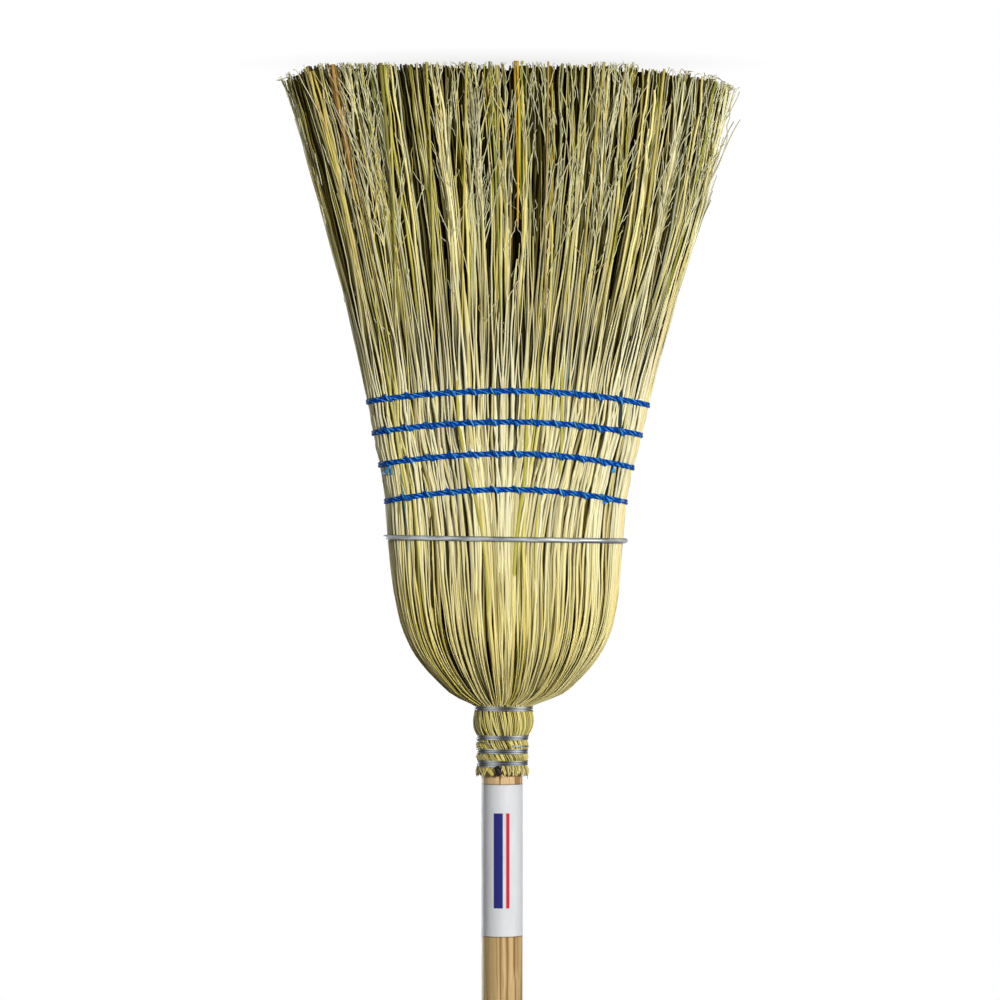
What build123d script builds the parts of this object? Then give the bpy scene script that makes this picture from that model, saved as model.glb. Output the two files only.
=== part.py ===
from build123d import *
import os
import random
from math import asin, atan2, ceil, cos, degrees, hypot, pi, radians, sin, sqrt

import numpy as np

# A corn broom standing on its bristle tips, in millimetres.
# The origin is on the floor under the handle. +Z runs up the handle, +X across the head,
# and -Y is the front.

# Handle and label
HANDLE_RADIUS = 14.2875
HANDLE_LENGTH = 1066.8
OVERALL_HEIGHT = 1435.0
HANDLE_END_RADIUS = 12.6
DOME_RISE = 10.0
DOME_FLAT_RADIUS = 2.0
LABEL_BOTTOM = 501.8
LABEL_TOP = 607.0
LABEL_THICKNESS = 0.12

# Outside of the sewn head, from the neck down to the first bristles: height, half width, half depth
HEAD_FORM = [
    (448.0, 19.4, 19.4),
    (445.0, 26.0, 21.8),
    (440.0, 37.3, 24.6),
    (430.0, 49.5, 27.6),
    (416.0, 61.8, 29.8),
    (398.0, 71.4, 31.0),
    (372.0, 77.6, 30.6),
    (335.0, 81.2, 27.8),
    (297.0, 85.0, 25.0),
    (262.0, 92.0, 23.6),
    (222.0, 100.5, 22.5),
]

# Outside of the corn under the hurl, in the same terms
CORE_FORM = [
    (441.0, 17.8, 17.8),
    (436.0, 26.5, 19.6),
    (428.0, 39.0, 22.2),
    (414.0, 54.0, 24.4),
    (396.0, 65.0, 25.4),
    (372.0, 71.8, 25.0),
    (335.0, 75.6, 22.3),
    (297.0, 79.4, 19.6),
    (262.0, 86.4, 18.1),
    (222.0, 94.8, 17.0),
]

# The inside bundle: a ring round the handle's end that widens below it
INSIDE_RING_RADIUS = 17.0
INSIDE_RING_TOP = 436.0
INSIDE_FORM = [
    (402.0, 17.0, 17.0),
    (385.0, 20.5, 17.6),
    (350.0, 28.0, 17.4),
    (300.0, 31.0, 15.8),
    (262.0, 33.0, 14.8),
    (222.0, 36.0, 14.0),
]
END_ROUNDNESS = 0.8
CIRCLE_JOINT = radians(20)

# Neck: radius of the corn under each wire band and of the bulges between them
NECK_BOTTOM = 448.0
NECK_TOP = 496.0
TOP_BAND_RADIUS = 19.4
NECK_BAND_RADIUS = 17.2
TOP_BAND_END = 453.6
BULGE_HEIGHT = 459.5
BULGE_RADIUS = 21.2
BULGE_END = 467.0
FRINGE_RADIUS = 17.9
BETWEEN_BANDS = [(472.6, 474.6, 476.6), (481.6, 483.2, 484.8)]
FRINGE_START = 490.6
FRINGE_STEP = 1.0

# Neck wire: each stretch of the winding as turns and the height where it ends
NECK_WIRE_RADIUS = 0.525
NECK_WIRE_START = 449.2
NECK_WIRE_STRETCHES = [
    (2.5, 453.0),
    (0.5, 467.6),
    (3.0, 472.1),
    (1.0, 477.1),
    (2.5, 480.9),
    (0.5, 485.1),
    (3.25, 490.0),
]
WIRE_SEAT = 0.05

# Wire round the inside bundle
CORE_WIRE_RADIUS = 0.6
CORE_WIRE_BOTTOM = 407.0
CORE_WIRE_PITCH = 2.5
CORE_WIRE_TURNS = 8
CORE_WIRE_ROOM = 18.7
CORE_ROOM_BOTTOM = 404.0
CORE_ROOM_TOP = 435.0

# Nail at the neck wire's end and tack at the core wire's start
NAIL_X = 2.4
NAIL_HEIGHT = 493.0
NAIL_HEAD_RADIUS = 2.3
NAIL_HEAD = 1.5
NAIL_EDGE = 0.9
NAIL_SHANK_RADIUS = 0.9
TACK_HEIGHT = 431.5
TACK_HEAD_RADIUS = 1.9
TACK_HEAD = 0.9
TACK_SHANK_RADIUS = 0.75
NAIL_DEPTH = 12.0

# Hoop of thick wire round the shoulder
HOOP_HEIGHT = 330.4
HOOP_RADIUS = 1.75
HOOP_SEAT = 0.35

# Twine: the height of each row at the middle of the head and at its ends
TWINE_ROWS = [(228.6, 236.0), (250.9, 257.6), (272.5, 280.8), (297.6, 304.8)]
TWINE_RADIUS = 0.95
TWINE_PITCH = 2.4
TWINE_TURNS = 2
TWINE_SEAT = 0.5
STITCH_PITCH = 14.6
STITCH_MARGIN = 9.0
STITCH_HALF_WIDTH = 2.3
STITCH_HALF_HEIGHT = 3.5
STITCH_RADIUS = 0.85
STITCH_BEND = 1.2
STITCH_TAIL = 6.0

# Bristles
SLICE = 9.0
STRAND_ROOT = 5.0
STRAND_BASE = 2.0
STRAND_TIP = 1.5
FLARE = 1.56
TIP_ARCH = 14.0
TIP_SPREAD = 2.4
TIP_FLAT = 0.5
HURL_STRANDS = [(1.5, 50), (4.1, 49)]
CORE_STRAND_X = 5.4
CORE_STRAND_Y = 4.5
STRAND_MARGIN = 1.7
RANDOM_SEED = 7

# A tube's gap to itself is measured on points a step apart, past a few diameters along it
SAMPLE_STEP = 0.5
NEAR_DIAMETERS = 3
# Below this bend two directions count as parallel
LEAST_BEND = 1e-9

os.makedirs("parts", exist_ok=True)


def save(builder, name):
    """Label a finished piece and write it."""
    builder.part.label = name
    export_step(builder.part, f"parts/{name}.step")


# Ovals of four tangent arcs


def oval_parts(half_width, half_depth):
    """Radius of the end arcs and of the side arcs of an oval."""
    end_radius = END_ROUNDNESS * half_depth
    spare = half_width**2 - 2 * half_width * end_radius + half_depth**2
    return end_radius, spare / (2 * (half_depth - end_radius))


def oval_joint(half_width, half_depth):
    """Where a side arc meets an end arc, in the quarter with x and y positive."""
    if half_width == half_depth:
        return half_width * cos(CIRCLE_JOINT), half_width * sin(CIRCLE_JOINT)
    end_radius, side_radius = oval_parts(half_width, half_depth)
    end_centre = half_width - end_radius
    share = end_radius / (side_radius - end_radius)
    return end_centre * (1 + share), (side_radius - half_depth) * share


def oval_face(height, half_width, half_depth):
    """An oval lying flat at a height."""
    x, y = oval_joint(half_width, half_depth)
    with BuildSketch(Plane.XY.offset(height)) as section:
        with BuildLine():
            ThreePointArc((-x, -y), (0, -half_depth), (x, -y))
            ThreePointArc((x, -y), (half_width, 0), (x, y))
            ThreePointArc((x, y), (0, half_depth), (-x, y))
            ThreePointArc((-x, y), (-half_width, 0), (-x, -y))
        make_face()
    return section.sketch


def depth_inside(x, y, half_width, half_depth):
    """How far a point lies inside an oval, negative outside it."""
    end_radius, side_radius = oval_parts(half_width, half_depth)
    joint_x, joint_y = oval_joint(half_width, half_depth)
    side_centre = side_radius - half_depth
    if abs(x) * (joint_y + side_centre) < joint_x * (abs(y) + side_centre):
        return side_radius - hypot(x, abs(y) + side_centre)
    return end_radius - hypot(abs(x) - half_width + end_radius, y)


def head_size(height):
    """Half width and half depth of the sewn head at a height."""
    heights = [station[0] for station in reversed(HEAD_FORM)]
    widths = [station[1] for station in reversed(HEAD_FORM)]
    depths = [station[2] for station in reversed(HEAD_FORM)]
    return float(np.interp(height, heights, widths)), float(np.interp(height, heights, depths))


# Wound wires and twines


def biarc_middle(start, start_direction, end, end_direction):
    """The point and direction where the two arcs of a biarc meet."""
    chord = end - start
    along = chord.dot(start_direction + end_direction)
    bend = 1 - start_direction.dot(end_direction)
    if bend < LEAST_BEND:
        reach = chord.dot(chord) / (2 * along)
    else:
        reach = (sqrt(along**2 + 2 * bend * chord.dot(chord)) - along) / (2 * bend)
    first = start + start_direction * reach
    second = end - end_direction * reach
    return (first + second) * 0.5, (second - first).normalized()


def biarc_line(stations):
    """One unbroken line of tangent arcs through points with directions."""
    with BuildLine() as line:
        for (start, leaving), (end, arriving) in zip(stations, stations[1:]):
            middle, direction = biarc_middle(start, leaving, end, arriving)
            TangentArc(start, middle, tangent=leaving)
            TangentArc(middle, end, tangent=direction)
    return line.wire()


def path_points(path):
    """Points along a path, a small step apart."""
    count = int(path.length / SAMPLE_STEP) + 1
    return np.array([tuple(path.position_at(i / (count - 1))) for i in range(count)])


def least_gap(path, radius):
    """Least gap between stretches of a tube that aren't near each other along it."""
    points = path_points(path)
    skip = ceil(NEAR_DIAMETERS * 2 * radius / SAMPLE_STEP)
    starts = range(len(points) - skip)
    least = min(np.linalg.norm(points[i + skip :] - points[i], axis=1).min() for i in starts)
    return least - 2 * radius


def report_tube(name, path, radius, builder):
    """Print a tube's volume against its section times its length, and its least gap to itself."""
    expected = pi * radius**2 * path.length
    print(
        f"{name}: length {path.length:.0f} mm, volume over section times length"
        f" {builder.part.volume / expected:.4f}, least gap to itself {least_gap(path, radius):.2f} mm"
    )


def neck_radius(height):
    """Radius of the corn at the neck, under the wire."""
    heights = [NECK_BOTTOM, TOP_BAND_END, BULGE_HEIGHT, BULGE_END, FRINGE_START, NECK_TOP]
    radii = [TOP_BAND_RADIUS, TOP_BAND_RADIUS, BULGE_RADIUS]
    radii += [NECK_BAND_RADIUS, NECK_BAND_RADIUS, FRINGE_RADIUS]
    return float(np.interp(height, heights, radii))


def turn_stations(radius_at, heights):
    """Points and directions at each quarter turn of a left-hand winding, one for each height."""
    points = []
    for quarter, height in enumerate(heights):
        angle = -quarter * pi / 2
        radius = radius_at(height)
        points.append(Vector(radius * cos(angle), radius * sin(angle), height))
    rises = [after - before for before, after in zip(heights, heights[1:])]
    stations = []
    for quarter, point in enumerate(points):
        angle = -quarter * pi / 2
        rise = min(rises[max(quarter - 1, 0) : quarter + 1])
        climb = rise / (pi / 2 * hypot(point.X, point.Y))
        stations.append((point, Vector(sin(angle), -cos(angle), climb).normalized()))
    return stations


# Handle, tapered inside the head and rounded at the grip end
with BuildPart() as handle:
    with BuildSketch(Plane.XZ):
        with BuildLine():
            low = OVERALL_HEIGHT - HANDLE_LENGTH
            Polyline((0, low), (HANDLE_END_RADIUS, low), (HANDLE_RADIUS, NECK_TOP))
            Line((HANDLE_RADIUS, NECK_TOP), (HANDLE_RADIUS, OVERALL_HEIGHT - DOME_RISE))
            RadiusArc(
                (HANDLE_RADIUS, OVERALL_HEIGHT - DOME_RISE),
                (DOME_FLAT_RADIUS, OVERALL_HEIGHT),
                -HANDLE_RADIUS,
            )
            Polyline((DOME_FLAT_RADIUS, OVERALL_HEIGHT), (0, OVERALL_HEIGHT), (0, low))
        make_face()
    revolve(axis=Axis.Z)

# Label sleeve, wrapped flat on the wood
with BuildPart() as label_sleeve:
    with BuildSketch(Plane.XY.offset(LABEL_BOTTOM)):
        Circle(HANDLE_RADIUS + LABEL_THICKNESS)
        Circle(HANDLE_RADIUS, mode=Mode.SUBTRACT)
    extrude(amount=LABEL_TOP - LABEL_BOTTOM)

# Nail that holds the end of the neck wire, driven in from the front
with BuildPart() as neck_wire_nail:
    with BuildSketch(Plane.XZ.offset(FRINGE_RADIUS)):
        with Locations((NAIL_X, NAIL_HEIGHT)):
            Circle(NAIL_HEAD_RADIUS)
    extrude(amount=NAIL_HEAD)
    fillet(neck_wire_nail.edges().group_by(Axis.Y)[0], NAIL_EDGE)
    with BuildSketch(Plane.XZ.offset(FRINGE_RADIUS)):
        with Locations((NAIL_X, NAIL_HEIGHT)):
            Circle(NAIL_SHANK_RADIUS)
    extrude(amount=-NAIL_DEPTH)

# Tack that starts the wire round the inside bundle
with BuildPart() as core_wire_tack:
    with BuildSketch(Plane.XZ.offset(INSIDE_RING_RADIUS)):
        with Locations((0, TACK_HEIGHT)):
            Circle(TACK_HEAD_RADIUS)
    extrude(amount=TACK_HEAD)
    with BuildSketch(Plane.XZ.offset(INSIDE_RING_RADIUS)):
        with Locations((0, TACK_HEIGHT)):
            Circle(TACK_SHANK_RADIUS)
    extrude(amount=-NAIL_DEPTH)

# Whole head with its neck, as one form to cut the bundles from
with BuildPart() as head_form:
    loft([oval_face(*station) for station in HEAD_FORM])
    with BuildSketch(Plane.XZ):
        with BuildLine():
            Polyline((0, NECK_BOTTOM), (TOP_BAND_RADIUS, NECK_BOTTOM), (TOP_BAND_RADIUS, TOP_BAND_END))
            ThreePointArc(
                (TOP_BAND_RADIUS, TOP_BAND_END),
                (BULGE_RADIUS, BULGE_HEIGHT),
                (NECK_BAND_RADIUS, BULGE_END),
            )
            seat = BULGE_END
            for start, middle, end in BETWEEN_BANDS:
                Line((NECK_BAND_RADIUS, seat), (NECK_BAND_RADIUS, start))
                ThreePointArc((NECK_BAND_RADIUS, start), (FRINGE_RADIUS, middle), (NECK_BAND_RADIUS, end))
                seat = end
            Polyline(
                (NECK_BAND_RADIUS, seat),
                (NECK_BAND_RADIUS, FRINGE_START),
                (FRINGE_RADIUS, FRINGE_START + FRINGE_STEP),
                (FRINGE_RADIUS, NECK_TOP),
                (0, NECK_TOP),
                (0, NECK_BOTTOM),
            )
        make_face()
    revolve(axis=Axis.Z)

# Everything under the hurl, as one form
with BuildPart() as core_form:
    loft([oval_face(*station) for station in CORE_FORM])

# Inside corn, a ring on the handle's end that widens below it
with BuildPart() as inside_form:
    with BuildSketch(Plane.XY.offset(INSIDE_FORM[0][0])):
        Circle(INSIDE_RING_RADIUS)
    extrude(amount=INSIDE_RING_TOP - INSIDE_FORM[0][0])
    loft([oval_face(*station) for station in INSIDE_FORM])

with BuildPart() as inside_corn:
    add(inside_form.part)
    add(handle.part, mode=Mode.SUBTRACT)
    add(core_wire_tack.part, mode=Mode.SUBTRACT)

# Shoulder corn, left and right of the inside bundle, with room for the wire round it
with BuildPart() as shoulder_form:
    add(core_form.part)
    add(inside_form.part, mode=Mode.SUBTRACT)
    add(handle.part, mode=Mode.SUBTRACT)
    with BuildSketch(Plane.XY.offset(CORE_ROOM_BOTTOM)):
        Circle(CORE_WIRE_ROOM)
    extrude(amount=CORE_ROOM_TOP - CORE_ROOM_BOTTOM, mode=Mode.SUBTRACT)

with BuildPart() as left_shoulder_corn:
    add(shoulder_form.part)
    split(bisect_by=Plane.YZ, keep=Keep.BOTTOM)

with BuildPart() as right_shoulder_corn:
    add(shoulder_form.part)
    split(bisect_by=Plane.YZ, keep=Keep.TOP)

# Hurl, the outer covers that run on over the neck
with BuildPart() as hurl_form:
    add(head_form.part)
    add(core_form.part, mode=Mode.SUBTRACT)
    add(handle.part, mode=Mode.SUBTRACT)
    add(neck_wire_nail.part, mode=Mode.SUBTRACT)

with BuildPart() as front_hurl:
    add(hurl_form.part)
    split(bisect_by=Plane.XZ, keep=Keep.TOP)

with BuildPart() as back_hurl:
    add(hurl_form.part)
    split(bisect_by=Plane.XZ, keep=Keep.BOTTOM)

# The nail and the tack are driven into the handle
with BuildPart() as drilled_handle:
    add(handle.part)
    add(neck_wire_nail.part, mode=Mode.SUBTRACT)
    add(core_wire_tack.part, mode=Mode.SUBTRACT)

# Neck wire: four bands joined by crossings, one unbroken winding
heights = [NECK_WIRE_START]
for turns, end in NECK_WIRE_STRETCHES:
    quarters = int(turns * 4)
    start = heights[-1]
    heights += [start + (end - start) * (i + 1) / quarters for i in range(quarters)]
neck_path = biarc_line(
    turn_stations(lambda height: neck_radius(height) + NECK_WIRE_RADIUS + WIRE_SEAT, heights)
)
with BuildPart() as neck_wire:
    with BuildSketch(Plane(origin=neck_path @ 0, z_dir=neck_path % 0)):
        Circle(NECK_WIRE_RADIUS)
    sweep(path=neck_path)
report_tube("neck_wire", neck_path, NECK_WIRE_RADIUS, neck_wire)

# Wire round the inside bundle
heights = [CORE_WIRE_BOTTOM + CORE_WIRE_PITCH * i / 4 for i in range(4 * CORE_WIRE_TURNS + 1)]
core_path = biarc_line(
    turn_stations(lambda height: INSIDE_RING_RADIUS + CORE_WIRE_RADIUS + WIRE_SEAT, heights)
)
with BuildPart() as core_binding_wire:
    with BuildSketch(Plane(origin=core_path @ 0, z_dir=core_path % 0)):
        Circle(CORE_WIRE_RADIUS)
    sweep(path=core_path)
report_tube("core_binding_wire", core_path, CORE_WIRE_RADIUS, core_binding_wire)

# Hoop of thick wire
hoop_width, hoop_depth = [size + HOOP_RADIUS + HOOP_SEAT for size in head_size(HOOP_HEIGHT)]
hoop_path = oval_face(HOOP_HEIGHT, hoop_width, hoop_depth).wire()
with BuildPart() as shoulder_hoop:
    with BuildSketch(Plane(origin=hoop_path @ 0, z_dir=hoop_path % 0)):
        Circle(HOOP_RADIUS)
    sweep(path=hoop_path)

# Twine rows: each wrap makes two turns round the head, and a sewing twine laces it through the head


def wrap_stations(middle, ends):
    """Points and directions of a wrap at its oval's four joints in each turn, from the back left."""
    width, depth = [size + TWINE_RADIUS + TWINE_SEAT for size in head_size(ends - TWINE_PITCH)]
    end_radius, side_radius = oval_parts(width, depth)
    x, y = oval_joint(width, depth)
    side_angle = asin(x / side_radius)
    side, end = side_angle * side_radius, (pi / 2 - side_angle) * end_radius
    end_turn = end / (2 * (side + end))
    front_middle = 0.25 + end_turn / 2
    along, into = cos(side_angle), sin(side_angle)
    slope = 2 * (ends - middle) * x / width**2
    corners = [
        (0, (-x, y), (-along, -into, slope)),
        (end_turn, (-x, -y), (along, -into, -slope)),
        (0.5, (x, -y), (along, into, slope)),
        (0.5 + end_turn, (x, y), (-along, into, -slope)),
    ]
    joint_height = middle + (ends - middle) * (x / width) ** 2
    stations = []
    for quarter in range(4 * TWINE_TURNS + 1):
        turn, corner = divmod(quarter, 4)
        share, place, direction = corners[corner]
        height = joint_height + TWINE_PITCH * (turn + share - front_middle - (TWINE_TURNS - 1) / 2)
        stations.append((Vector(*place, height), Vector(*direction).normalized()))
    return stations


def wrap_at(points, x, side):
    """Height, depth and lean of the wraps' middle at x, on the front (-1) or the back (1)."""
    near = points[(points[:, 1] * side > 0) & (abs(points[:, 0] - x) < TWINE_RADIUS)]
    depths = abs(near[:, 1])
    lean = atan2(depths.max() - depths.min(), 2 * TWINE_RADIUS)
    return near[:, 2].mean(), depths.mean(), lean


def stitch_points(wrap_path, half_width):
    """Corners of a sewing twine, over the front, through the head and over the back."""
    points = path_points(wrap_path)
    count = int(2 * (half_width - STITCH_MARGIN) / STITCH_PITCH) + 1
    corners = []
    for stitch in range(count):
        for step in (-1, 1):
            x = (stitch - (count - 1) / 2) * STITCH_PITCH + step * STITCH_HALF_WIDTH
            pass_ends = []
            for side in (1, -1):
                height, depth, lean = wrap_at(points, x, side)
                over = (TWINE_RADIUS + STITCH_RADIUS + TWINE_SEAT) / cos(lean)
                pass_ends.append(Vector(x, side * (depth + over), height - step * STITCH_HALF_HEIGHT))
            corners += pass_ends if step < 0 else reversed(pass_ends)
    tail = Vector(STITCH_TAIL, 0, 0)
    return [corners[0] - tail, *corners, corners[-1] + tail]


twine_pieces = {}
for number, (middle, ends) in enumerate(TWINE_ROWS, start=1):
    wrap_path = biarc_line(wrap_stations(middle, ends))
    with BuildPart() as wrap:
        with BuildSketch(Plane(origin=wrap_path @ 0, z_dir=wrap_path % 0)):
            Circle(TWINE_RADIUS)
        sweep(path=wrap_path)
    report_tube(f"wrap_twine_{number}", wrap_path, TWINE_RADIUS, wrap)
    twine_pieces[f"wrap_twine_{number}"] = wrap
    with BuildLine() as sewing_line:
        FilletPolyline(*stitch_points(wrap_path, head_size(ends)[0]), radius=STITCH_BEND)
    sewing_path = sewing_line.wire()
    with BuildPart() as sewing:
        with BuildSketch(Plane(origin=sewing_path @ 0, z_dir=sewing_path % 0)):
            Circle(STITCH_RADIUS)
        sweep(path=sewing_path)
    report_tube(f"sewing_twine_{number}", sewing_path, STITCH_RADIUS, sewing)
    twine_pieces[f"sewing_twine_{number}"] = sewing

# Bristles
chance = random.Random(RANDOM_SEED)
sewn_end, head_width, head_depth = HEAD_FORM[-1]
_, core_width, core_depth = CORE_FORM[-1]
_, inside_width, inside_depth = INSIDE_FORM[-1]
slice_bottom = sewn_end - SLICE


def square_face(height, x, y, side, turn):
    """A small square lying flat."""
    with BuildSketch(Plane.XY.offset(height)) as square:
        with Locations((x, y)):
            Rectangle(side, side, rotation=turn)
    return square.sketch


def strand(x, y, turn):
    """One straight strand from the slice to its tip, on an arch that is cut flat on the floor."""
    tip = max(0.0, TIP_ARCH * (x / head_width) ** 2 + TIP_SPREAD * chance.random() - TIP_FLAT)
    with BuildPart() as one:
        loft(
            [
                square_face(slice_bottom + STRAND_ROOT, x, y, STRAND_BASE, turn),
                square_face(tip, x * FLARE, y * FLARE, STRAND_TIP, turn),
            ],
            ruled=True,
        )
    return one.part


def hurl_places(side):
    """Places and turns of the strands in the hurl's two curved rows, on the front (-1) or back (1)."""
    places = []
    for inset, count in HURL_STRANDS:
        width, depth = head_width - inset, head_depth - inset
        end_radius, side_radius = oval_parts(width, depth)
        joint_x, _ = oval_joint(width, depth)
        side_angle = asin(joint_x / side_radius)
        end_angle = pi / 2 - side_angle
        half_length = side_radius * side_angle + end_radius * end_angle
        for i in range(count):
            along = ((i + 0.5) / count * 2 - 1) * half_length
            reach = min(abs(along) / side_radius, side_angle)
            spare = max(0.0, abs(along) - side_radius * side_angle) / end_radius
            angle = reach + spare
            if spare > 0:
                x = width - end_radius + end_radius * sin(angle)
                y = end_radius * cos(angle)
            else:
                x = side_radius * sin(angle)
                y = side_radius * cos(angle) - side_radius + depth
            x, turn = (x, -angle) if along > 0 else (-x, angle)
            places.append((x, side * y, side * degrees(turn)))
    return places


def core_places():
    """Places of the strands under the hurl, in staggered rows, by bundle."""
    bundles = {"left": [], "inside": [], "right": []}
    rows = int(core_depth / CORE_STRAND_Y)
    columns = int(core_width / CORE_STRAND_X)
    for row in range(-rows, rows + 1):
        for column in range(-columns - 1, columns + 2):
            x = (column + 0.5 * (row % 2)) * CORE_STRAND_X
            y = row * CORE_STRAND_Y
            if depth_inside(x, y, core_width, core_depth) < STRAND_MARGIN:
                continue
            in_bundle = depth_inside(x, y, inside_width, inside_depth)
            if in_bundle > STRAND_MARGIN:
                bundles["inside"].append((x, y, 0))
            elif in_bundle < -STRAND_MARGIN and abs(x) > STRAND_MARGIN:
                bundles["left" if x < 0 else "right"].append((x, y, 0))
    return bundles


def bristle_node(outer, inner, cutter, keep, places):
    """A slice of the sewn head with its strands: the oval outer less inner, on one side of a plane."""
    strands = [strand(*place) for place in places]
    with BuildPart() as bristles:
        extrude(oval_face(slice_bottom, *outer), amount=SLICE)
        if inner:
            extrude(oval_face(slice_bottom, *inner), amount=SLICE, mode=Mode.SUBTRACT)
        if cutter:
            split(bisect_by=cutter, keep=keep)
        add(strands)
    return bristles


head_oval = (head_width, head_depth)
core_oval = (core_width, core_depth)
inside_oval = (inside_width, inside_depth)
core_bundles = core_places()
bristles = {
    "front_bristles": bristle_node(head_oval, core_oval, Plane.XZ, Keep.TOP, hurl_places(-1)),
    "back_bristles": bristle_node(head_oval, core_oval, Plane.XZ, Keep.BOTTOM, hurl_places(1)),
    "left_bristles": bristle_node(core_oval, inside_oval, Plane.YZ, Keep.BOTTOM, core_bundles["left"]),
    "right_bristles": bristle_node(core_oval, inside_oval, Plane.YZ, Keep.TOP, core_bundles["right"]),
    "inside_bristles": bristle_node(inside_oval, None, None, None, core_bundles["inside"]),
}
strand_count = 2 * len(hurl_places(1)) + sum(len(places) for places in core_bundles.values())
print(f"strands: {strand_count}")

# Write every piece
pieces = {
    "handle": drilled_handle,
    "label_sleeve": label_sleeve,
    "inside_corn": inside_corn,
    "core_binding_wire": core_binding_wire,
    "core_wire_tack": core_wire_tack,
    "left_shoulder_corn": left_shoulder_corn,
    "right_shoulder_corn": right_shoulder_corn,
    "front_hurl": front_hurl,
    "back_hurl": back_hurl,
    "neck_wire": neck_wire,
    "neck_wire_nail": neck_wire_nail,
    "shoulder_hoop": shoulder_hoop,
    **twine_pieces,
    **bristles,
}
for name, piece in pieces.items():
    save(piece, name)
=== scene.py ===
from math import pi, radians, tau

import bpy
import numpy as np
from mathutils import Matrix, Vector


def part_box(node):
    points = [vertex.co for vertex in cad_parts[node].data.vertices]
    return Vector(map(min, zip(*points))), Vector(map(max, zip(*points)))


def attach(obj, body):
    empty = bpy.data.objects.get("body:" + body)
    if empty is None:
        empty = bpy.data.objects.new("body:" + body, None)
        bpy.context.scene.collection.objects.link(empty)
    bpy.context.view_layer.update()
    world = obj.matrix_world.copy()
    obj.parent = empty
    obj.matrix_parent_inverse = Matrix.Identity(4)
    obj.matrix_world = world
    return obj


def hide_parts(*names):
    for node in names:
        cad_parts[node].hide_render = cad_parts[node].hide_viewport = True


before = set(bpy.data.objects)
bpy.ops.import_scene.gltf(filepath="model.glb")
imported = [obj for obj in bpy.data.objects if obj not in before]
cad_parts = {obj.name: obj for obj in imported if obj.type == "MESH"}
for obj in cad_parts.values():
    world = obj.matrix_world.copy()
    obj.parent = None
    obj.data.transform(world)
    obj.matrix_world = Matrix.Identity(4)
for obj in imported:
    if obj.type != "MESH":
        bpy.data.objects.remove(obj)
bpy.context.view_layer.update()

# A corn broom standing on its bristle tips. Shapes are worked out in millimetres in the frame's axes,
# +Z up the handle, +X across the head and -Y the front, and are written to the meshes in metres.
METRES = 0.001
FRONT = np.array([0.0, -1.0, 0.0])
chance = np.random.default_rng(11)

# The photograph's view: the broom hangs with its tips up, so the camera is turned upside down
PHOTO_SIZE = 1000
MM_PER_PIXEL = 0.697
AXIS_COLUMN = 502
TIP_ROW = 64
CAMERA_DISTANCE = 3200
SENSOR_WIDTH = 36

# Outside of the head, from the top wire down to the bristle tips: height, half width, half depth
HEAD_FORM = [
    (455, 19.5, 19.5),
    (448, 19.9, 19.9),
    (445, 26, 21.8),
    (440, 37.3, 24.6),
    (430, 49.5, 27.6),
    (416, 61.8, 29.8),
    (398, 71.4, 31),
    (372, 77.6, 30.6),
    (335, 81.2, 27.8),
    (297, 85, 25),
    (262, 92.7, 23.6),
    (222, 101.2, 22.5),
    (178, 112.5, 24.6),
    (110, 131, 27.5),
    (50, 146.5, 30),
    (0, 158.5, 31.5),
]
# Radius of the head's ends, as a share of its half depth
END_ROUNDNESS = 0.8
# How far the head leans towards -X, by height
HEAD_LEAN = [(455, 0.9), (449, 1.1), (440, 3.4), (425, 3.8), (395, 3.5), (335, 2.3),
             (285, 3.2), (231, 4.6), (165, 6.4), (110, 7.6), (55, 6.4), (0, 4.2)]
# Turns round the head, from the front middle towards +X, that its bundles span
COVERS = {"front": (-0.25, 0.25), "back": (0.25, 0.75)}
SHOULDERS = {"left": (0.5, 1), "right": (0, 0.5)}
# Where the sewing ends and the bristles come free
SEWN_END = 222
# Cut line of the tips: x and height
TIP_LINE = [(-160, 18), (-150, 11.5), (-124, 8.2), (-99, 5), (-83, 2.9), (-58, 2.2), (100, 2),
            (131, 2.2), (143, 4.6), (148, 7.7), (156, 12)]

# Neck: where it starts, and the height and radius of the corn under the wire
NECK_START = 450
NECK_FORM = [(446, 19.7), (451, 19.8), (453, 20.3), (456.5, 20.8), (460.5, 20.6), (463.5, 19.9),
             (466.6, 18.2), (468.2, 17.4), (471.8, 17.2), (474.2, 17.9), (476.9, 17.2), (480.8, 17.2),
             (482.8, 17.9), (484.9, 17.2), (489.2, 17.2), (490.8, 17.9), (497, 18)]
# How far the neck leans towards -X, by height
NECK_LEAN = [(446, 1), (459, 1), (467, 0.4), (497, 0.2)]

# Twine rows: height at the middle of the head, at its +X end and at its -X end, then the sewing over
# them: the number of stitches, their pitch and how far their middle lies from the head's
TWINE_ROWS = [
    (228.5, 235.2, 238.4, 12, 14.55, 3.5),
    (250, 257, 259.3, 12, 14.7, 3.3),
    (272, 279.1, 282, 10, 14.85, 1),
    (296.8, 304.5, 305.9, 10, 15.35, 0.4),
]
STITCH_HALF_WIDTH = 2.3
STITCH_HALF_HEIGHT = 1.8


# Curves and ovals


def smooth_curve(stations, column=1):
    """A smooth function through a column of a table, by its first column."""
    places, sizes = np.array(sorted(stations)).T[[0, column]]
    slopes = np.gradient(sizes, places)

    def at(place):
        step = np.clip(np.searchsorted(places, place) - 1, 0, len(places) - 2)
        span = places[step + 1] - places[step]
        share = np.clip((place - places[step]) / span, 0, 1)
        rise = sizes[step + 1] - sizes[step]
        start = slopes[step] * span - rise
        end = rise - slopes[step + 1] * span
        return sizes[step] + share * rise + share * (1 - share) * ((1 - share) * start + share * end)

    return at


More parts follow.
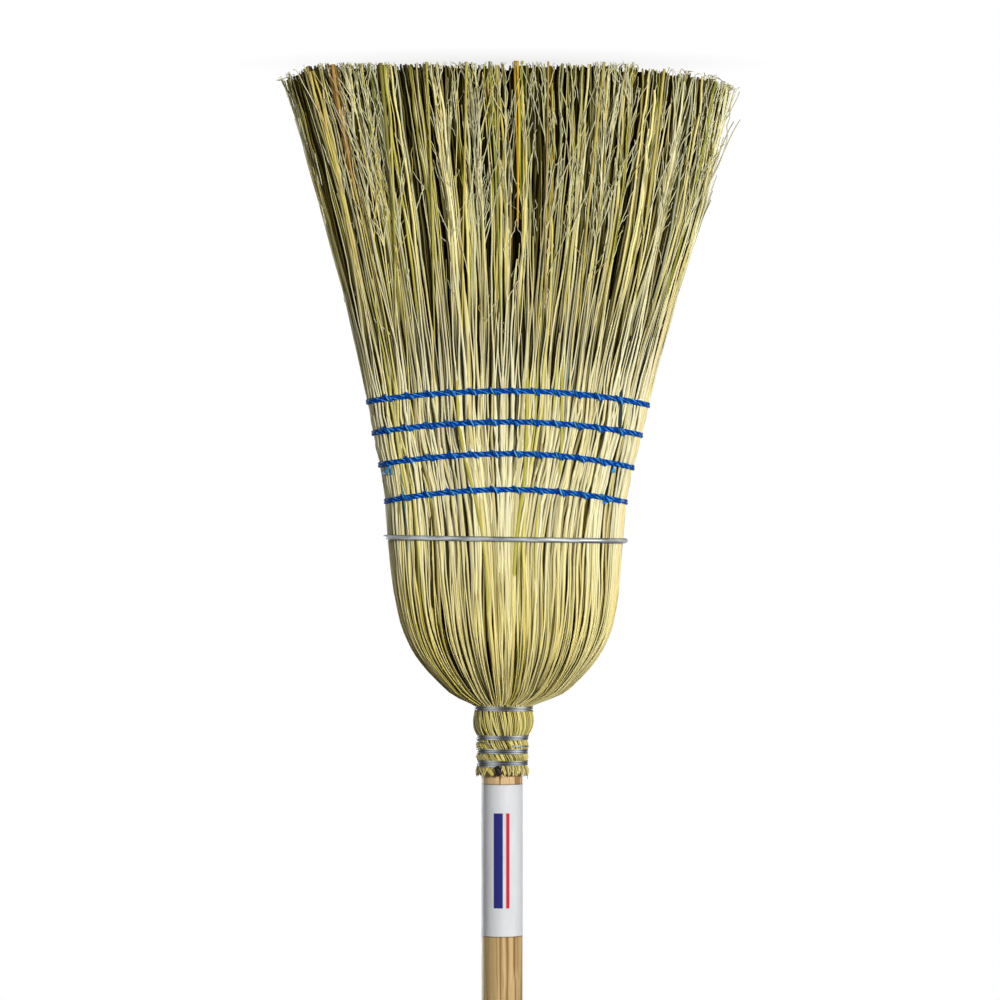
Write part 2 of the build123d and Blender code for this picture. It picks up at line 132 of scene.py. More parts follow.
half_width = smooth_curve(HEAD_FORM, 1)
half_depth = smooth_curve(HEAD_FORM, 2)
head_lean = smooth_curve(HEAD_LEAN)
neck_radius = smooth_curve(NECK_FORM)
neck_lean = smooth_curve(NECK_LEAN)


def smooth_step(value, start, end):
    """0 at start, 1 at end, and smooth between."""
    share = np.clip((value - start) / (end - start), 0, 1)
    return share * share * (3 - 2 * share)


def short_way(turn):
    """A difference of turns, the short way round."""
    return (turn + 0.5) % 1 - 0.5


def arc_radii(width, depth):
    """Radii of an oval's end and side arcs, from its half sizes."""
    end = END_ROUNDNESS * depth
    return end, (width**2 - 2 * width * end + depth**2) / (2 * (depth - end))


def oval(turn, width, depth):
    """Point and outward direction on an oval of four arcs, by turn from the front middle towards +X."""
    turn, width, depth = np.broadcast_arrays(turn % 1, width, depth)
    end, side = arc_radii(width, depth)
    joint = np.arctan2(width - end, side - depth)
    quarter = side * joint + end * (pi / 2 - joint)
    travel = (1 - abs(turn * 4 % 2 - 1)) * quarter
    on_side = travel < side * joint
    angle = np.where(on_side, travel / side, joint + (travel - side * joint) / end)
    x = np.where(on_side, side * np.sin(angle), width - end + end * np.sin(angle))
    y = np.where(on_side, side * np.cos(angle) - side + depth, end * np.cos(angle))
    right = np.where(turn < 0.5, 1, -1)
    back = np.where(abs(turn - 0.5) < 0.25, 1, -1)
    return x * right, y * back, np.sin(angle) * right, np.cos(angle) * back


def head_point(turn, height, inward):
    """Place and outward direction on the head, by turn, height and depth under its surface."""
    x, y, out_x, out_y = oval(turn, half_width(height), half_depth(height))
    place = np.stack([x - out_x * inward - head_lean(height), y - out_y * inward, height + 0 * x], -1)
    return place, np.stack([out_x, out_y, 0 * out_x], -1)


def side_point(x, height, side, proud):
    """Place on the front (-1) or back (1) of the head, at x from its middle and proud of it."""
    width, depth = half_width(height), half_depth(height)
    end, flank = arc_radii(width, depth)
    past = np.maximum(abs(x) - width + end, 0)
    at_end = np.sqrt(np.maximum(end**2 - past**2, 0))
    y = np.where(past > 0, at_end, np.sqrt(flank**2 - x**2) - flank + depth)
    return np.stack([x - head_lean(height), side * (y + proud), height], -1)


def sideways_of(outward):
    """Level direction along the surface, with rising turn."""
    return np.stack([-outward[..., 1], outward[..., 0], 0 * outward[..., 0]], -1)


def wave(height, amplitude, shortest, longest):
    """A gentle wave along each strand."""
    count = len(height)
    length = chance.uniform(shortest, longest, (count, 1))
    phase = chance.uniform(0, tau, (count, 1))
    return amplitude * np.sin(tau * height / length + phase)


def unit(vectors):
    """Vectors of length one."""
    return vectors / np.linalg.norm(vectors, axis=-1, keepdims=True)


def directions(points, outward):
    """Directions sideways of lines and upward from them, on the side of outward."""
    along = unit(np.gradient(points, axis=-2))
    sideways = unit(np.cross(along, np.broadcast_to(outward, points.shape)))
    return sideways, np.cross(sideways, along)


def travelled(points):
    """Distance along lines at their points."""
    steps = np.diff(points, axis=-2, prepend=points[..., :1, :])
    return np.linalg.norm(steps, axis=-1).cumsum(axis=-1)


def resample(points, step):
    """Points an even step apart along a line."""
    travel = travelled(points)
    places = np.linspace(0, travel[-1], int(travel[-1] / step) + 1)
    return np.stack([np.interp(places, travel, points[:, axis]) for axis in range(3)], -1)


def rounded(points, step):
    """A line with its corners cut off twice, in even steps."""
    for _ in range(2):
        near = 0.75 * points[:-1] + 0.25 * points[1:]
        far = 0.25 * points[:-1] + 0.75 * points[1:]
        cut = np.stack([near, far], 1).reshape(-1, 3)
        points = np.concatenate([points[:1], cut, points[-1:]])
    return resample(points, step)


# Colours, as screen values. Strands draw theirs from a list with the share of each.
CORN_COLOURS = [
    (0.56, (254, 247, 203)),
    (0.28, (247, 236, 180)),
    (0.09, (232, 217, 150)),
    (0.03, (214, 202, 124)),
    (0.02, (200, 192, 98)),
    (0.01, (226, 216, 186)),
    (0.01, (218, 202, 156)),
]
BRISTLE_COLOURS = [
    (0.42, (254, 247, 196)),
    (0.24, (246, 232, 154)),
    (0.13, (224, 206, 108)),
    (0.09, (198, 190, 84)),
    (0.05, (178, 180, 72)),
    (0.05, (210, 212, 170)),
    (0.02, (188, 162, 108)),
]
WISP_COLOURS = [
    (0.50, (254, 250, 210)),
    (0.30, (246, 240, 190)),
    (0.12, (206, 208, 160)),
    (0.08, (206, 188, 108)),
]
TAIL_COLOURS = [(1, (60, 160, 228))]
# Plies of the wraps and of the sewing, lighter and darker by turns: the lighter ones are painted
# highlights along the twist
TWINE_COLOURS = [(70, 162, 242), (2, 68, 170), (14, 104, 212), (0, 58, 152)]
STITCH_COLOURS = [(96, 178, 250), (16, 116, 224), (2, 88, 194)]
# How much the brightness of strands varies, and the most of any colour in one
STALK_SPREAD = 0.27
NECK_SPREAD = 0.44
BRISTLE_SPREAD = 0.32
WISP_SPREAD = 0.28
TAIL_SPREAD = 0.15
BRIGHTEST = 0.97


def linear(red, green, blue):
    """Screen values in linear light."""
    value = np.array([red, green, blue]) / 255
    return np.where(value <= 0.04045, value / 12.92, ((value + 0.055) / 1.055) ** 2.4)


def pick(colours, count, spread):
    """Colours drawn from a list by their shares, each with its own brightness."""
    shares = np.array([share for share, _ in colours])
    table = np.array([linear(*colour) for _, colour in colours])
    drawn = table[chance.choice(len(table), count, p=shares / shares.sum())]
    brightness = chance.lognormal(0, spread, (count, 1))
    return drawn * np.minimum(brightness, BRIGHTEST / drawn.max(axis=1, keepdims=True))


# Meshes of strands
GRAIN_SHIFT = 500
# Sections of their tubes: height over width, sides, and painted shade: its tone at the back of the tube
# and how fast it comes
SECTIONS = {
    "stalk": (0.85, 6, 0.1, 0.4),
    "neck_stalk": (0.7, 6, 0.1, 0.8),
    "stem": (0.8, 8, 0.3, 1.2),
    "bristle": (0.85, 6, 0.2, 0.5),
    "thin_bristle": (0.85, 4, 0.4, 0.5),
    "inner_bristle": (0.85, 5, 0.2, 0.5),
    "stray_hair": (1, 5, 0.5, 0.5),
    "wisp": (1, 3, 1, 0.5),
    "ply": (1, 8, 0.08, 2),
    "filament": (1, 4, 1, 0.5),
    "neck_wire": (1, 8, 0.05, 1.6),
    "hoop": (1, 14, 0.05, 3),
    "nail": (0.6, 10, 1, 0.5),
}


def mesh_part(vertices, tints, grain):
    """Closed tubes whose points are listed by tube, ring and side."""
    index = np.arange(vertices[..., 0].size).reshape(vertices.shape[:3])
    after = np.roll(index, -1, axis=2)
    walls = np.stack([index[:, :-1], after[:, :-1], after[:, 1:], index[:, 1:]], -1)
    caps = np.concatenate([index[:, 0, ::-1], index[:, -1]])
    return {
        "vertices": vertices.reshape(-1, 3),
        "faces": [walls.reshape(-1, 4), caps],
        "tints": np.broadcast_to(tints, vertices.shape).reshape(-1, 3),
        "grain": grain.reshape(-1, 3),
    }


def tubes(points, outward, across, tint, section):
    """Tubes along rows of points, by half width, tint and kind of section, with shade painted round their
    backs.
    """
    flatness, sides, back, fading = SECTIONS[section]
    count, length, _ = points.shape
    sideways, upward = directions(points, outward)
    angles = tau * np.arange(sides) / sides
    across = np.broadcast_to(across, (count, length))[..., None, None]
    rise = flatness * across * np.cos(angles)[:, None]
    reach = across * np.sin(angles)[:, None]
    vertices = points[:, :, None] + upward[:, :, None] * rise + sideways[:, :, None] * reach
    # Painted shade: each tube darker round its back, where strands and wires lie in each other's shade
    shade = back + (1 - back) * np.clip(0.5 + 0.5 * np.cos(angles), 0, 1) ** fading
    grain = np.empty(vertices.shape)
    grain[..., 0] = chance.uniform(0, GRAIN_SHIFT, (count, 1, 1))
    grain[..., 1] = angles / tau
    grain[..., 2] = travelled(points)[..., None]
    tints = np.broadcast_to(tint, (count, length, 3))[:, :, None] * shade[:, None]
    return mesh_part(vertices, tints, grain)


def add_object(name, data):
    """A new object in the scene."""
    made = bpy.data.objects.new(name, data)
    bpy.context.scene.collection.objects.link(made)
    return made


def make_piece(name, parts, material, slot, *nodes):
    """One mesh object from tubes, riding on the broom and standing for the CAD nodes named."""
    vertices, tints, grain = (
        np.concatenate([part[key] for part in parts]) for key in ("vertices", "tints", "grain")
    )
    offsets = np.cumsum([0] + [len(part["vertices"]) for part in parts])
    blocks = [block + offset for part, offset in zip(parts, offsets) for block in part["faces"]]
    mesh = bpy.data.meshes.new(name)
    mesh.from_pydata(vertices * METRES, [], [face for block in blocks for face in block.tolist()])
    mesh.shade_smooth()
    colour = mesh.attributes.new("tint", "FLOAT_COLOR", "POINT")
    colour.data.foreach_set("color", np.c_[tints, np.ones(len(tints))].ravel())
    lay = mesh.attributes.new("grain", "FLOAT_VECTOR", "POINT")
    lay.data.foreach_set("vector", grain.ravel())
    mesh.materials.append(material)
    piece = add_object(name, mesh)
    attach(piece, "root")
    if nodes:
        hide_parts(*nodes)


# Materials. An input of a node is a plain value, or a socket to link.
# Sockets of a colour mix: its two colours and its result
MIX_COLOURS = (6, 7)
MIX_RESULT = 2


def set_inputs(tree, node, inputs):
    """Give a node its inputs, by place or name."""
    for place, value in inputs.items():
        socket = node.inputs[place]
        if isinstance(value, bpy.types.NodeSocket):
            tree.links.new(value, socket)
        else:
            socket.default_value = (*value, 1.0) if socket.type == "RGBA" else value


def add_node(tree, kind, settings=None, *values, **named):
    """A node with its settings, first inputs in order, and others by name."""
    made = tree.nodes.new(kind)
    for setting, value in (settings or {}).items():
        setattr(made, setting, value)
    set_inputs(tree, made, dict(enumerate(values)) | named)
    return made


def maths(tree, operation, *values):
    """A sum on values."""
    return add_node(tree, "ShaderNodeMath", {"operation": operation}, *values).outputs[0]


def vector_maths(tree, operation, *values, **named):
    """A sum on vectors or colours."""
    return add_node(tree, "ShaderNodeVectorMath", {"operation": operation}, *values, **named).outputs[0]


def attribute(tree, name, output):
    """What a mesh attribute holds."""
    return add_node(tree, "ShaderNodeAttribute", {"attribute_name": name}).outputs[output]


def place_of(tree):
    """The place of a point on the object."""
    return add_node(tree, "ShaderNodeTexCoord").outputs["Object"]


def streaks(tree, vector, scale, detail=3.0):
    """Noise drawn out by the scale of each axis."""
    stretched = vector_maths(tree, "MULTIPLY", vector, scale)
    noise = add_node(tree, "ShaderNodeTexNoise", Vector=stretched, Scale=1.0, Detail=detail)
    return noise.outputs["Fac"]


def spread(tree, value, low, high, start=0.3, end=0.7):
    """A value's middle range spread from low to high."""
    return add_node(tree, "ShaderNodeMapRange", None, value, start, end, low, high).outputs["Result"]


def times(tree, colour, factor):
    """A colour times a value."""
    return vector_maths(tree, "SCALE", colour, Scale=factor)


def parts_of(tree, vector):
    """The three parts of a vector or colour."""
    return list(add_node(tree, "ShaderNodeSeparateXYZ", None, vector).outputs)


def within(tree, value, middle, half, edge):
    """1 where a value lies within half of a middle and 0 outside, over a narrow edge."""
    away = maths(tree, "ABSOLUTE", maths(tree, "SUBTRACT", value, middle))
    return spread(tree, away, 1, 0, half - edge, half + edge)


def blend(tree, factor, first, second):
    """A mix of two colours."""
    made = add_node(tree, "ShaderNodeMix", {"data_type": "RGBA"}, factor)
    set_inputs(tree, made, dict(zip(MIX_COLOURS, (first, second))))
    return made.outputs[MIX_RESULT]


def new_material(name):
    """A new material, its node tree and its main shader."""
    material = bpy.data.materials.new(name)
    material.use_nodes = True
    return material, material.node_tree, material.node_tree.nodes["Principled BSDF"]


def finished(name, paint, details, roughness, gloss, relief, metallic=0.0):
    """A material whose paint gives its colour and a noise for its roughness and relief."""
    material, tree, shader = new_material(name)
    colour, noise = paint(tree, *details)
    bump = add_node(tree, "ShaderNodeBump", Strength=1.0, Distance=relief * METRES, Height=noise)
    set_inputs(tree, shader, {
        "Base Color": colour,
        "Roughness": spread(tree, noise, *roughness),
        "Specular IOR Level": gloss,
        "Metallic": metallic,
        "Normal": bump.outputs["Normal"],
    })
    return material


def strands(tree, scale, loss, gain):
    """Corn or twine: each strand's tint, painted shade included, with streaks along it."""
    fine = streaks(tree, attribute(tree, "grain", "Vector"), scale)
    tint = attribute(tree, "tint", "Color")
    return times(tree, tint, spread(tree, fine, 1 - loss, 1 + gain)), fine


PATCH_SCALE = (1, 1, 0.05)
PATCH_RANGE = (0.35, 0.62)


def zinc(tree, dark, bright, painted_light=True):
    """Galvanised wire: grey with darker patches, times its tint, which holds painted highlights and
    painted shade.
    """
    patches = streaks(tree, attribute(tree, "grain", "Vector"), PATCH_SCALE, 4.0)
    colour = blend(tree, spread(tree, patches, 0, 1, *PATCH_RANGE), linear(*dark), linear(*bright))
    if painted_light:
        colour = times(tree, colour, parts_of(tree, attribute(tree, "tint", "Color"))[0])
    return colour, patches


# Wood: its colours, scales and tones of its grain, how far that wavers, in metres, and on what scale
DARK_WOOD = (178, 147, 95)
LIGHT_WOOD = (226, 197, 143)
BARE_WOOD = (230, 196, 146)
STREAK_COLOUR = (136, 94, 48)
FINE_GRAIN = (900, 900, 14)
BROAD_GRAIN = (130, 130, 2.2)
DARK_GRAIN = (330, 330, 3)
FINE_TONES = (0.78, 1.1)
DARK_SHARE = 0.8
DARK_RANGE = (0.5, 0.62)
GRAIN_WAVER = 0.0014
WAVER_SCALE = (26, 26, 13)
# Pale bare wood at the neck: its share, and between which heights in metres it ends
COLLAR_SHARE = 0.85
COLLAR_END = (0.52, 0.58)
# Painted shadow along the label's edges: half width and soft edge in metres, and tone
LABEL_SHADOW_WIDTH = 0.0007
LABEL_SHADOW_EDGE = 0.0004
LABEL_SHADOW_TONE = 0.4


def pine(tree):
    """Lacquered pine: wavering grain, darker streaks along the handle and a painted shadow along the
    label's edges.
    """
    place = place_of(tree)
    height = parts_of(tree, place)[2]
    aside = spread(tree, streaks(tree, place, WAVER_SCALE, 2.0), -GRAIN_WAVER, GRAIN_WAVER)
    grain = vector_maths(tree, "ADD", place, aside)
    fine = streaks(tree, grain, FINE_GRAIN, 4.0)
    broad = streaks(tree, grain, BROAD_GRAIN, 3.0)
    dark = streaks(tree, grain, DARK_GRAIN, 2.0)
    wood = blend(tree, spread(tree, broad, 0, 1), linear(*DARK_WOOD), linear(*LIGHT_WOOD))
    wood = blend(tree, spread(tree, height, COLLAR_SHARE, 0, *COLLAR_END), wood, linear(*BARE_WOOD))
    wood = blend(tree, spread(tree, dark, 0, DARK_SHARE, *DARK_RANGE), wood, linear(*STREAK_COLOUR))
    wood = times(tree, wood, spread(tree, fine, *FINE_TONES))
    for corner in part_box("label_sleeve"):
        # Painted shadow where the label's edges meet the wood
        label_shadow = within(tree, height, corner[2], LABEL_SHADOW_WIDTH, LABEL_SHADOW_EDGE)
        wood = times(tree, wood, spread(tree, label_shadow, 1.0, LABEL_SHADOW_TONE, 0.0, 1.0))
    return wood, fine


# Plain bars printed side by side on the label's front: x and height, both half sizes, colour
LABEL_BARS = [
    (2.6, 554.4, 3.2, 33, (44, 46, 118)),
    (-4, 554.4, 1.2, 33, (200, 36, 52)),
]
BAR_EDGE = 0.25
FILM_COLOURS = ((214, 215, 217), (222, 223, 225))
RIPPLE_SCALE = (160, 160, 45)
# Between which y in metres the print ends
PRINT_END = (-0.002, 0)


def label(tree):
    """White film, a little uneven on the wood, with plain printed bars."""
    place = place_of(tree)
    ripple = streaks(tree, place, RIPPLE_SCALE, 2.0)
    dark, light = (linear(*colour) for colour in FILM_COLOURS)
    film = blend(tree, spread(tree, ripple, 0, 1), dark, light)
    x, y, z = parts_of(tree, place)
    front = spread(tree, y, 1, 0, *PRINT_END)
    for *sizes, colour in LABEL_BARS:
        bar_x, bar_z, half_x, half_z, edge = np.array([*sizes, BAR_EDGE]) * METRES
        across = within(tree, x, bar_x, half_x, edge)
        inked = maths(tree, "MULTIPLY", across, within(tree, z, bar_z, half_z, edge))
        film = blend(tree, maths(tree, "MULTIPLY", inked, front), film, linear(*colour))
    return film, ripple


SPOT_SCALE = (700, 700, 700)
STEEL_COLOURS = ((8, 6, 5), (30, 25, 22))


def dark_steel(tree):
    """Dark bare steel, mottled with faint rust-brown spots."""
    spots = streaks(tree, place_of(tree), SPOT_SCALE, 4.0)
    dark, light = (linear(*colour) for colour in STEEL_COLOURS)
    return blend(tree, spread(tree, spots, 0, 1), dark, light), spots


# Each material's paint, what that needs, roughness over the noise, gloss, relief in mm, metallic share
STRAW = ((1, 11, 0.04), 0.22, 0.22)
FILAMENTS = ((1, 9, 0.14), 0.35, 0.3)
PLAIN_ZINC = ((92, 97, 100), (172, 177, 180), False)
HOOP_ZINC = ((112, 117, 118), (204, 209, 210))
PAINTED_GLEAM_ZINC = ((178, 184, 186), (228, 233, 235))
corn = finished("broomcorn", strands, STRAW, (0.5, 0.38), 0.05, 0.15)
# A copy without gloss, for the strands painted in shade under the outside and inside
inner_corn = finished("broomcorn_inside", strands, STRAW, (0.5, 0.38), 0.0, 0.15)
blue_twine = finished("blue_twine", strands, FILAMENTS, (0.45, 0.3), 0.04, 0.1)
galvanised = finished("galvanised_wire", zinc, PLAIN_ZINC, (0.56, 0.42), 0.2, 0.015, 0.25)
hoop_wire = finished("hoop_galvanised_wire", zinc, HOOP_ZINC, (0.44, 0.32), 0.2, 0.015, 0.25)
painted_gleam_wire = finished("painted_gleam_galvanised_wire", zinc, PAINTED_GLEAM_ZINC, (0.44, 0.32), 0.2, 0.015, 0.25)
handle_pine = finished("pine", pine, (), (0.5, 0.36), 0.06, 0.06)
label_film = finished("label_film", label, (), (0.4, 0.5), 0.06, 0.1)
nail_steel = finished("nail_steel", dark_steel, (), (0.3, 0.18), 0.15, 0.15)


# Clumps that the strands gather into, and layers that they lie in


def clump_set(count, gathering=1.0, tufted=1.0):
    """Clumps round the head, and how each lies, sways, ends, darkens, draws in and frays."""
    return {
        "centre": (np.arange(count) + chance.uniform(0.15, 0.85, count)) / count,
        "phase": chance.uniform(0, tau, count),
        "sway": chance.uniform(0.3, 2.6, count),
        "rise": chance.exponential(0.4, count),
        "tone": chance.lognormal(0, 0.13, count),
        "depth": chance.uniform(0, 3.0, count),
        "gather": chance.uniform(0.25, 0.8, count) * gathering,
        "tufted": np.full(count, tufted),
        "frizz": chance.uniform(0, 1, count) ** 2,
    }


OUTER_CLUMPS = clump_set(104)
UNDER_CLUMPS = clump_set(70, 0.6, 0.5)
INNER_CLUMPS = clump_set(27, 0.1, 0.0)
# Sewn stalks lie in sheaves, and clumps draw together into tufts
SHEAVES = clump_set(62)
TUFTS = clump_set(36)
# Both pull strands in over a stretch of the free length, then let go a little. Some strands stay out.
CLUMP_PULL = ((-0.03, 0.16), 0.5, (0.5, 1))
TUFT_PULL = ((0.05, 0.5), 0.4, (0.6, 1))
LOOSE_SHARE = 0.2
# How clumps sway along the free length, and how far single strands slant
CLUMP_GROWTH = 1.5
CLUMP_WAVE = 2.5
FREE_SLANT = 3
# Deeper strands are given painted shade, darker and browner: the last one's loss, and how fast each
# colour follows
DEEP_LOSS = 0.9
DEEP_POWERS = np.array([1.5, 1.58, 2.1])
# How deep neighbouring strands lie in their layer, in a repeating order
STALK_LEVELS = [(0, 0.06), (0.55, 0.95), (0, 0.06), (0.2, 0.45), (0.55, 0.95)]
BRISTLE_LEVELS = [(0, 0.08), (0.75, 1)]
NECK_LEVELS = [(0, 0.15), (0.6, 1)]


def scattered(count, start, end):
    """Turns from start to end, one at random in each of count steps."""
    return start + (end - start) * (np.arange(count) + chance.uniform(0, 1, count)) / count


def layered(levels, count):
    """How deep each strand lies in its layer, from 0 to 1."""
    low, high = np.array([levels[index % len(levels)] for index in range(count)]).T
    return chance.uniform(low, high)[:, None]


def shaded(share):
    """Painted shade: colour factors at a share of a layer's depth."""
    return (1 - DEEP_LOSS * share) ** DEEP_POWERS


def clump_of(turn, clumps):
    """The values of the clump that each turn belongs to, as columns."""
    nearest = abs(short_way(turn[:, None] - clumps["centre"])).argmin(axis=1)
    return {key: values[nearest][:, None] for key, values in clumps.items()}


def pulled(turn, clump, free, draw, loss, release):
    """How far a clump pulls a strand's turn towards its middle."""
    pull = smooth_step(free, *draw) * (1 - loss * smooth_step(free, *release))
    return short_way(clump["centre"] - turn[:, None]) * clump["gather"] * pull


def gathered(turn, clump, free):
    """A strand's turn as its clump and tuft pull it in."""
    held = chance.uniform(0, 1, (len(turn), 1)) > LOOSE_SHARE
    aside = pulled(turn, clump_of(turn, TUFTS), free, *TUFT_PULL) * clump["tufted"]
    return turn[:, None] + held * (pulled(turn, clump, free, *CLUMP_PULL) + aside)


def clump_wave(clump, free):
    """The clump's own gentle sway."""
    return clump["sway"] * free**CLUMP_GROWTH * np.sin(CLUMP_WAVE * free + clump["phase"])


def cut_line(x):
    """Height of the cut line of the tips."""
    return np.interp(x, *np.array(TIP_LINE).T)


def tip_height(turn):
    """Height of the cut line at a turn of the head."""
    return cut_line(oval(turn, half_width(0.0), half_depth(0.0))[0] - head_lean(0.0))


# Sewn head: hurl on the outside and shoulder corn under it
STALK_TOP = 453
STALK_POINTS = 40
STALK_CROWDING = 1.4
# Near the neck they pile up, with painted shade on those piled under, and are tucked under the wire
PILE_REACH = (392, 447)
PILE_LOSS = 0.84
TUCK = 1.2
TUCK_REACH = (442, 447)
# They close in on the middle of the front and back towards the neck
FAN = 0.6
FAN_POWER = 1.6
FAN_REACH = (240, 350)
# The twine pulls them in, and the sewing holes part them
PINCH = 1.2
PINCH_REACH = 4.5
PART = 1.6
PART_WIDTH = 2.6
PART_HEIGHT = 11
# Their waves: size, shortest and longest
STALK_RIPPLE = (0.3, 40, 120)
STALK_SWAYS = [(1.2, 150, 320), (0.25, 30, 80)]
FREE_SWAY = (1.2, 60, 180)
SHEAF_SWAY = 0.45
SHEAF_WAVE = 60
# Their widths: spread, and the share lost at the foot, at the neck and where they are free
WIDTH_SPREAD = 0.28
FOOT_TAPER = 0.5
FOOT_REACH = (-30, 150)
TAPERS = [(0.47, (315, 445)), (0.35, (230, 195))]
# They are golden near the neck and where they are free: the loss of each colour, by height
GOLD_LOSS = np.array([0.02, 0.07, 0.34])
GOLD_ABOVE = (300, 400)
GOLD_BELOW = (215, 120)
GOLD_BELOW_SHARE = 0.7
# Painted shade: deep ones darken below the sewing
GAP_LOSS = 0.75
GAP_REACH = (234, 205)
# Share of stalks with long feet, where a layer has any
LONG_SHARE = 0.33


def stitch_places(row):
    """The middle of each stitch over a row, across the head."""
    count, pitch, shift = row[3:]
    return shift + (np.arange(count) - (count - 1) / 2) * pitch


def row_height(row, x, height):
    """Height of a twine row at x."""
    middle, plus_end, minus_end = row[:3]
    return middle + (np.where(x > 0, plus_end, minus_end) - middle) * (x / half_width(height)) ** 2


def pinched(x, height):
    """How far the twine rows pull the corn in."""
    rows = [row_height(row, x, height) for row in TWINE_ROWS]
    return PINCH * sum(np.exp(-(((height - row) / PINCH_REACH) ** 2)) for row in rows)


def parted(x, height):
    """How far the sewing holes push the stalks apart."""
    push = np.zeros(np.shape(x))
    for row in TWINE_ROWS:
        for place in stitch_places(row):
            for step in (-1, 1):
                aside = x - place - step * STITCH_HALF_WIDTH
                above = height - row_height(row, x, height) + step * STITCH_HALF_HEIGHT
                near = np.exp(-((aside / PART_WIDTH) ** 2) - (above / PART_HEIGHT) ** 2)
                push += PART * np.tanh(aside) * near
    return push


def fanned(turn, height):
    """A stalk's turn as it closes in on the middle of its side towards the neck."""
    middle = np.round(turn * 2) / 2
    outer = np.clip(4 * abs(turn - middle), 0, 1)
    close = FAN * (1 - outer) ** FAN_POWER * smooth_step(height, *FAN_REACH)
    return middle + (turn - middle) * (1 - close)


def foot_heights(count, short, long=None):
    """Feet of stalks over the cut line: most fray out below the sewing, and some may reach the tips."""
    feet = chance.uniform(*short, count)
    if long:
        feet = np.where(chance.uniform(0, 1, count) < LONG_SHARE, chance.uniform(*long, count), feet)
    return feet


def stalks(start, end, count, clumps, depth, width, feet, shade, pile):
    """Long stalks from under the top wire down over the shoulder and through the sewing."""
    turn = scattered(count, start, end)
    clump = clump_of(turn, clumps)
    foot = foot_heights(count, *feet) + tip_height(turn)
    height = STALK_TOP - (STALK_TOP - foot)[:, None] * np.linspace(0, 1, STALK_POINTS) ** STALK_CROWDING
    free = np.clip((SEWN_END - height) / SEWN_END, 0, 1)
    here = fanned(gathered(turn, clump, free), height)
    x = head_point(here, height, 0)[0][..., 0] + head_lean(height)
    sheaf = clump_of(turn, SHEAVES)
    rank = chance.permutation(count)[:, None] / count
    share = layered(STALK_LEVELS, count)
    piled = rank * smooth_step(height, *PILE_REACH)
    inward = (
        depth[0] + (depth[1] - depth[0]) * share + pile * piled + TUCK * smooth_step(height, *TUCK_REACH)
        + pinched(x, height) + clump["depth"] * free + wave(height, *STALK_RIPPLE)
    )
    place, outward = head_point(here, height, inward)
    aside = (
        sum(wave(height, *form) for form in STALK_SWAYS) + parted(x, height)
        + SHEAF_SWAY * sheaf["sway"] * np.sin(height / SHEAF_WAVE + sheaf["phase"])
        + clump_wave(clump, free) + free * wave(height, *FREE_SWAY)
        + free * chance.normal(0, FREE_SLANT, (count, 1))
    )
    place = place + sideways_of(outward) * aside[..., None]
    across = np.minimum(chance.lognormal(np.log(width), WIDTH_SPREAD, (count, 1)) / 2, width)
    across = across * (1 - FOOT_TAPER * (1 - smooth_step(height - foot[:, None], *FOOT_REACH)))
    for loss, reach in TAPERS:
        across = across * (1 - loss * smooth_step(height, *reach))
    golden = GOLD_BELOW_SHARE * smooth_step(height, *GOLD_BELOW)
    golden = np.maximum(smooth_step(height, *GOLD_ABOVE), golden)[..., None]
    tint = pick(CORN_COLOURS, count, STALK_SPREAD) * shade * shaded(share)
    tint = tint[:, None] * (1 - golden * GOLD_LOSS)
    # Painted shade on deep stalks below the sewing
    tint = tint * (1 - GAP_LOSS * share * smooth_step(height, *GAP_REACH))[..., None]
    # Painted shade on stalks piled under others near the neck
    tint = tint * (1 - PILE_LOSS * piled)[..., None]
    return tubes(place, outward, across, tint, "stalk")


# Coloured stalks on the front of the sewn head: width, colour, x and height along them
FEATURE_STALKS = [
    (2.5, (194, 184, 84), [(31.4, 206), (31.4, 214.7), (30.7, 241.2), (28.6, 262.1), (23.7, 283),
        (18.1, 303.9), (13.9, 324.8), (11.2, 345.7), (9.8, 373.6), (9.1, 401.5)]),
    (2.4, (196, 188, 86), [(-17.4, 206), (-17.4, 248.1), (-16.4, 269), (-15.7, 290), (-12.9, 307.4),
        (-10.5, 324.8), (-8.7, 345.7), (-7.7, 373.6)]),
    (1.9, (198, 190, 82), [(-41.1, 206), (-41.5, 242.6), (-41.1, 272.5), (-38.5, 296)]),
    (1.5, (52, 42, 20), [(50.2, 308), (49.4, 330), (48.7, 352), (47.8, 384)]),
    (1, (226, 204, 146), [(52.4, 306), (48.8, 313), (51.4, 320), (48.2, 328), (50.6, 336),
        (48, 344), (49.8, 353), (48.6, 366)]),
    (0.7, (112, 146, 138), [(71.5, 276), (68.3, 303.9), (65.5, 324.1), (64.5, 334.6), (63.8, 377.8)]),
    (0.7, (112, 150, 146), [(-46.6, 205), (-46.4, 213.3), (-46.2, 223)]),
    (2.6, (52, 66, 66), [(-82.6, 226), (-82.4, 236), (-82, 246), (-81.4, 258)]),
    (0.9, (140, 108, 64), [(42.6, 250), (42.2, 258.6), (41.8, 271)]),
    (1, (96, 78, 42), [(59, 252), (57.8, 261), (56.6, 275)]),
    (0.9, (106, 88, 48), [(55.9, 278), (55.2, 285), (54.6, 294)]),
]
FEATURE_STEP = 4
# Their ends dive under the others: how deep, and over which shares of their length
FEATURE_SINK = 4
FEATURE_START = (0, 0.12)
FEATURE_END = (0.86, 1)


def stem(x, height, sunk, radius, colour):
    """One coloured stem on the front, through points at x and height."""
    line = side_point(x + head_lean(height), height, -1, -sunk)
    return tubes(line[None], FRONT, radius, linear(*colour), "stem")


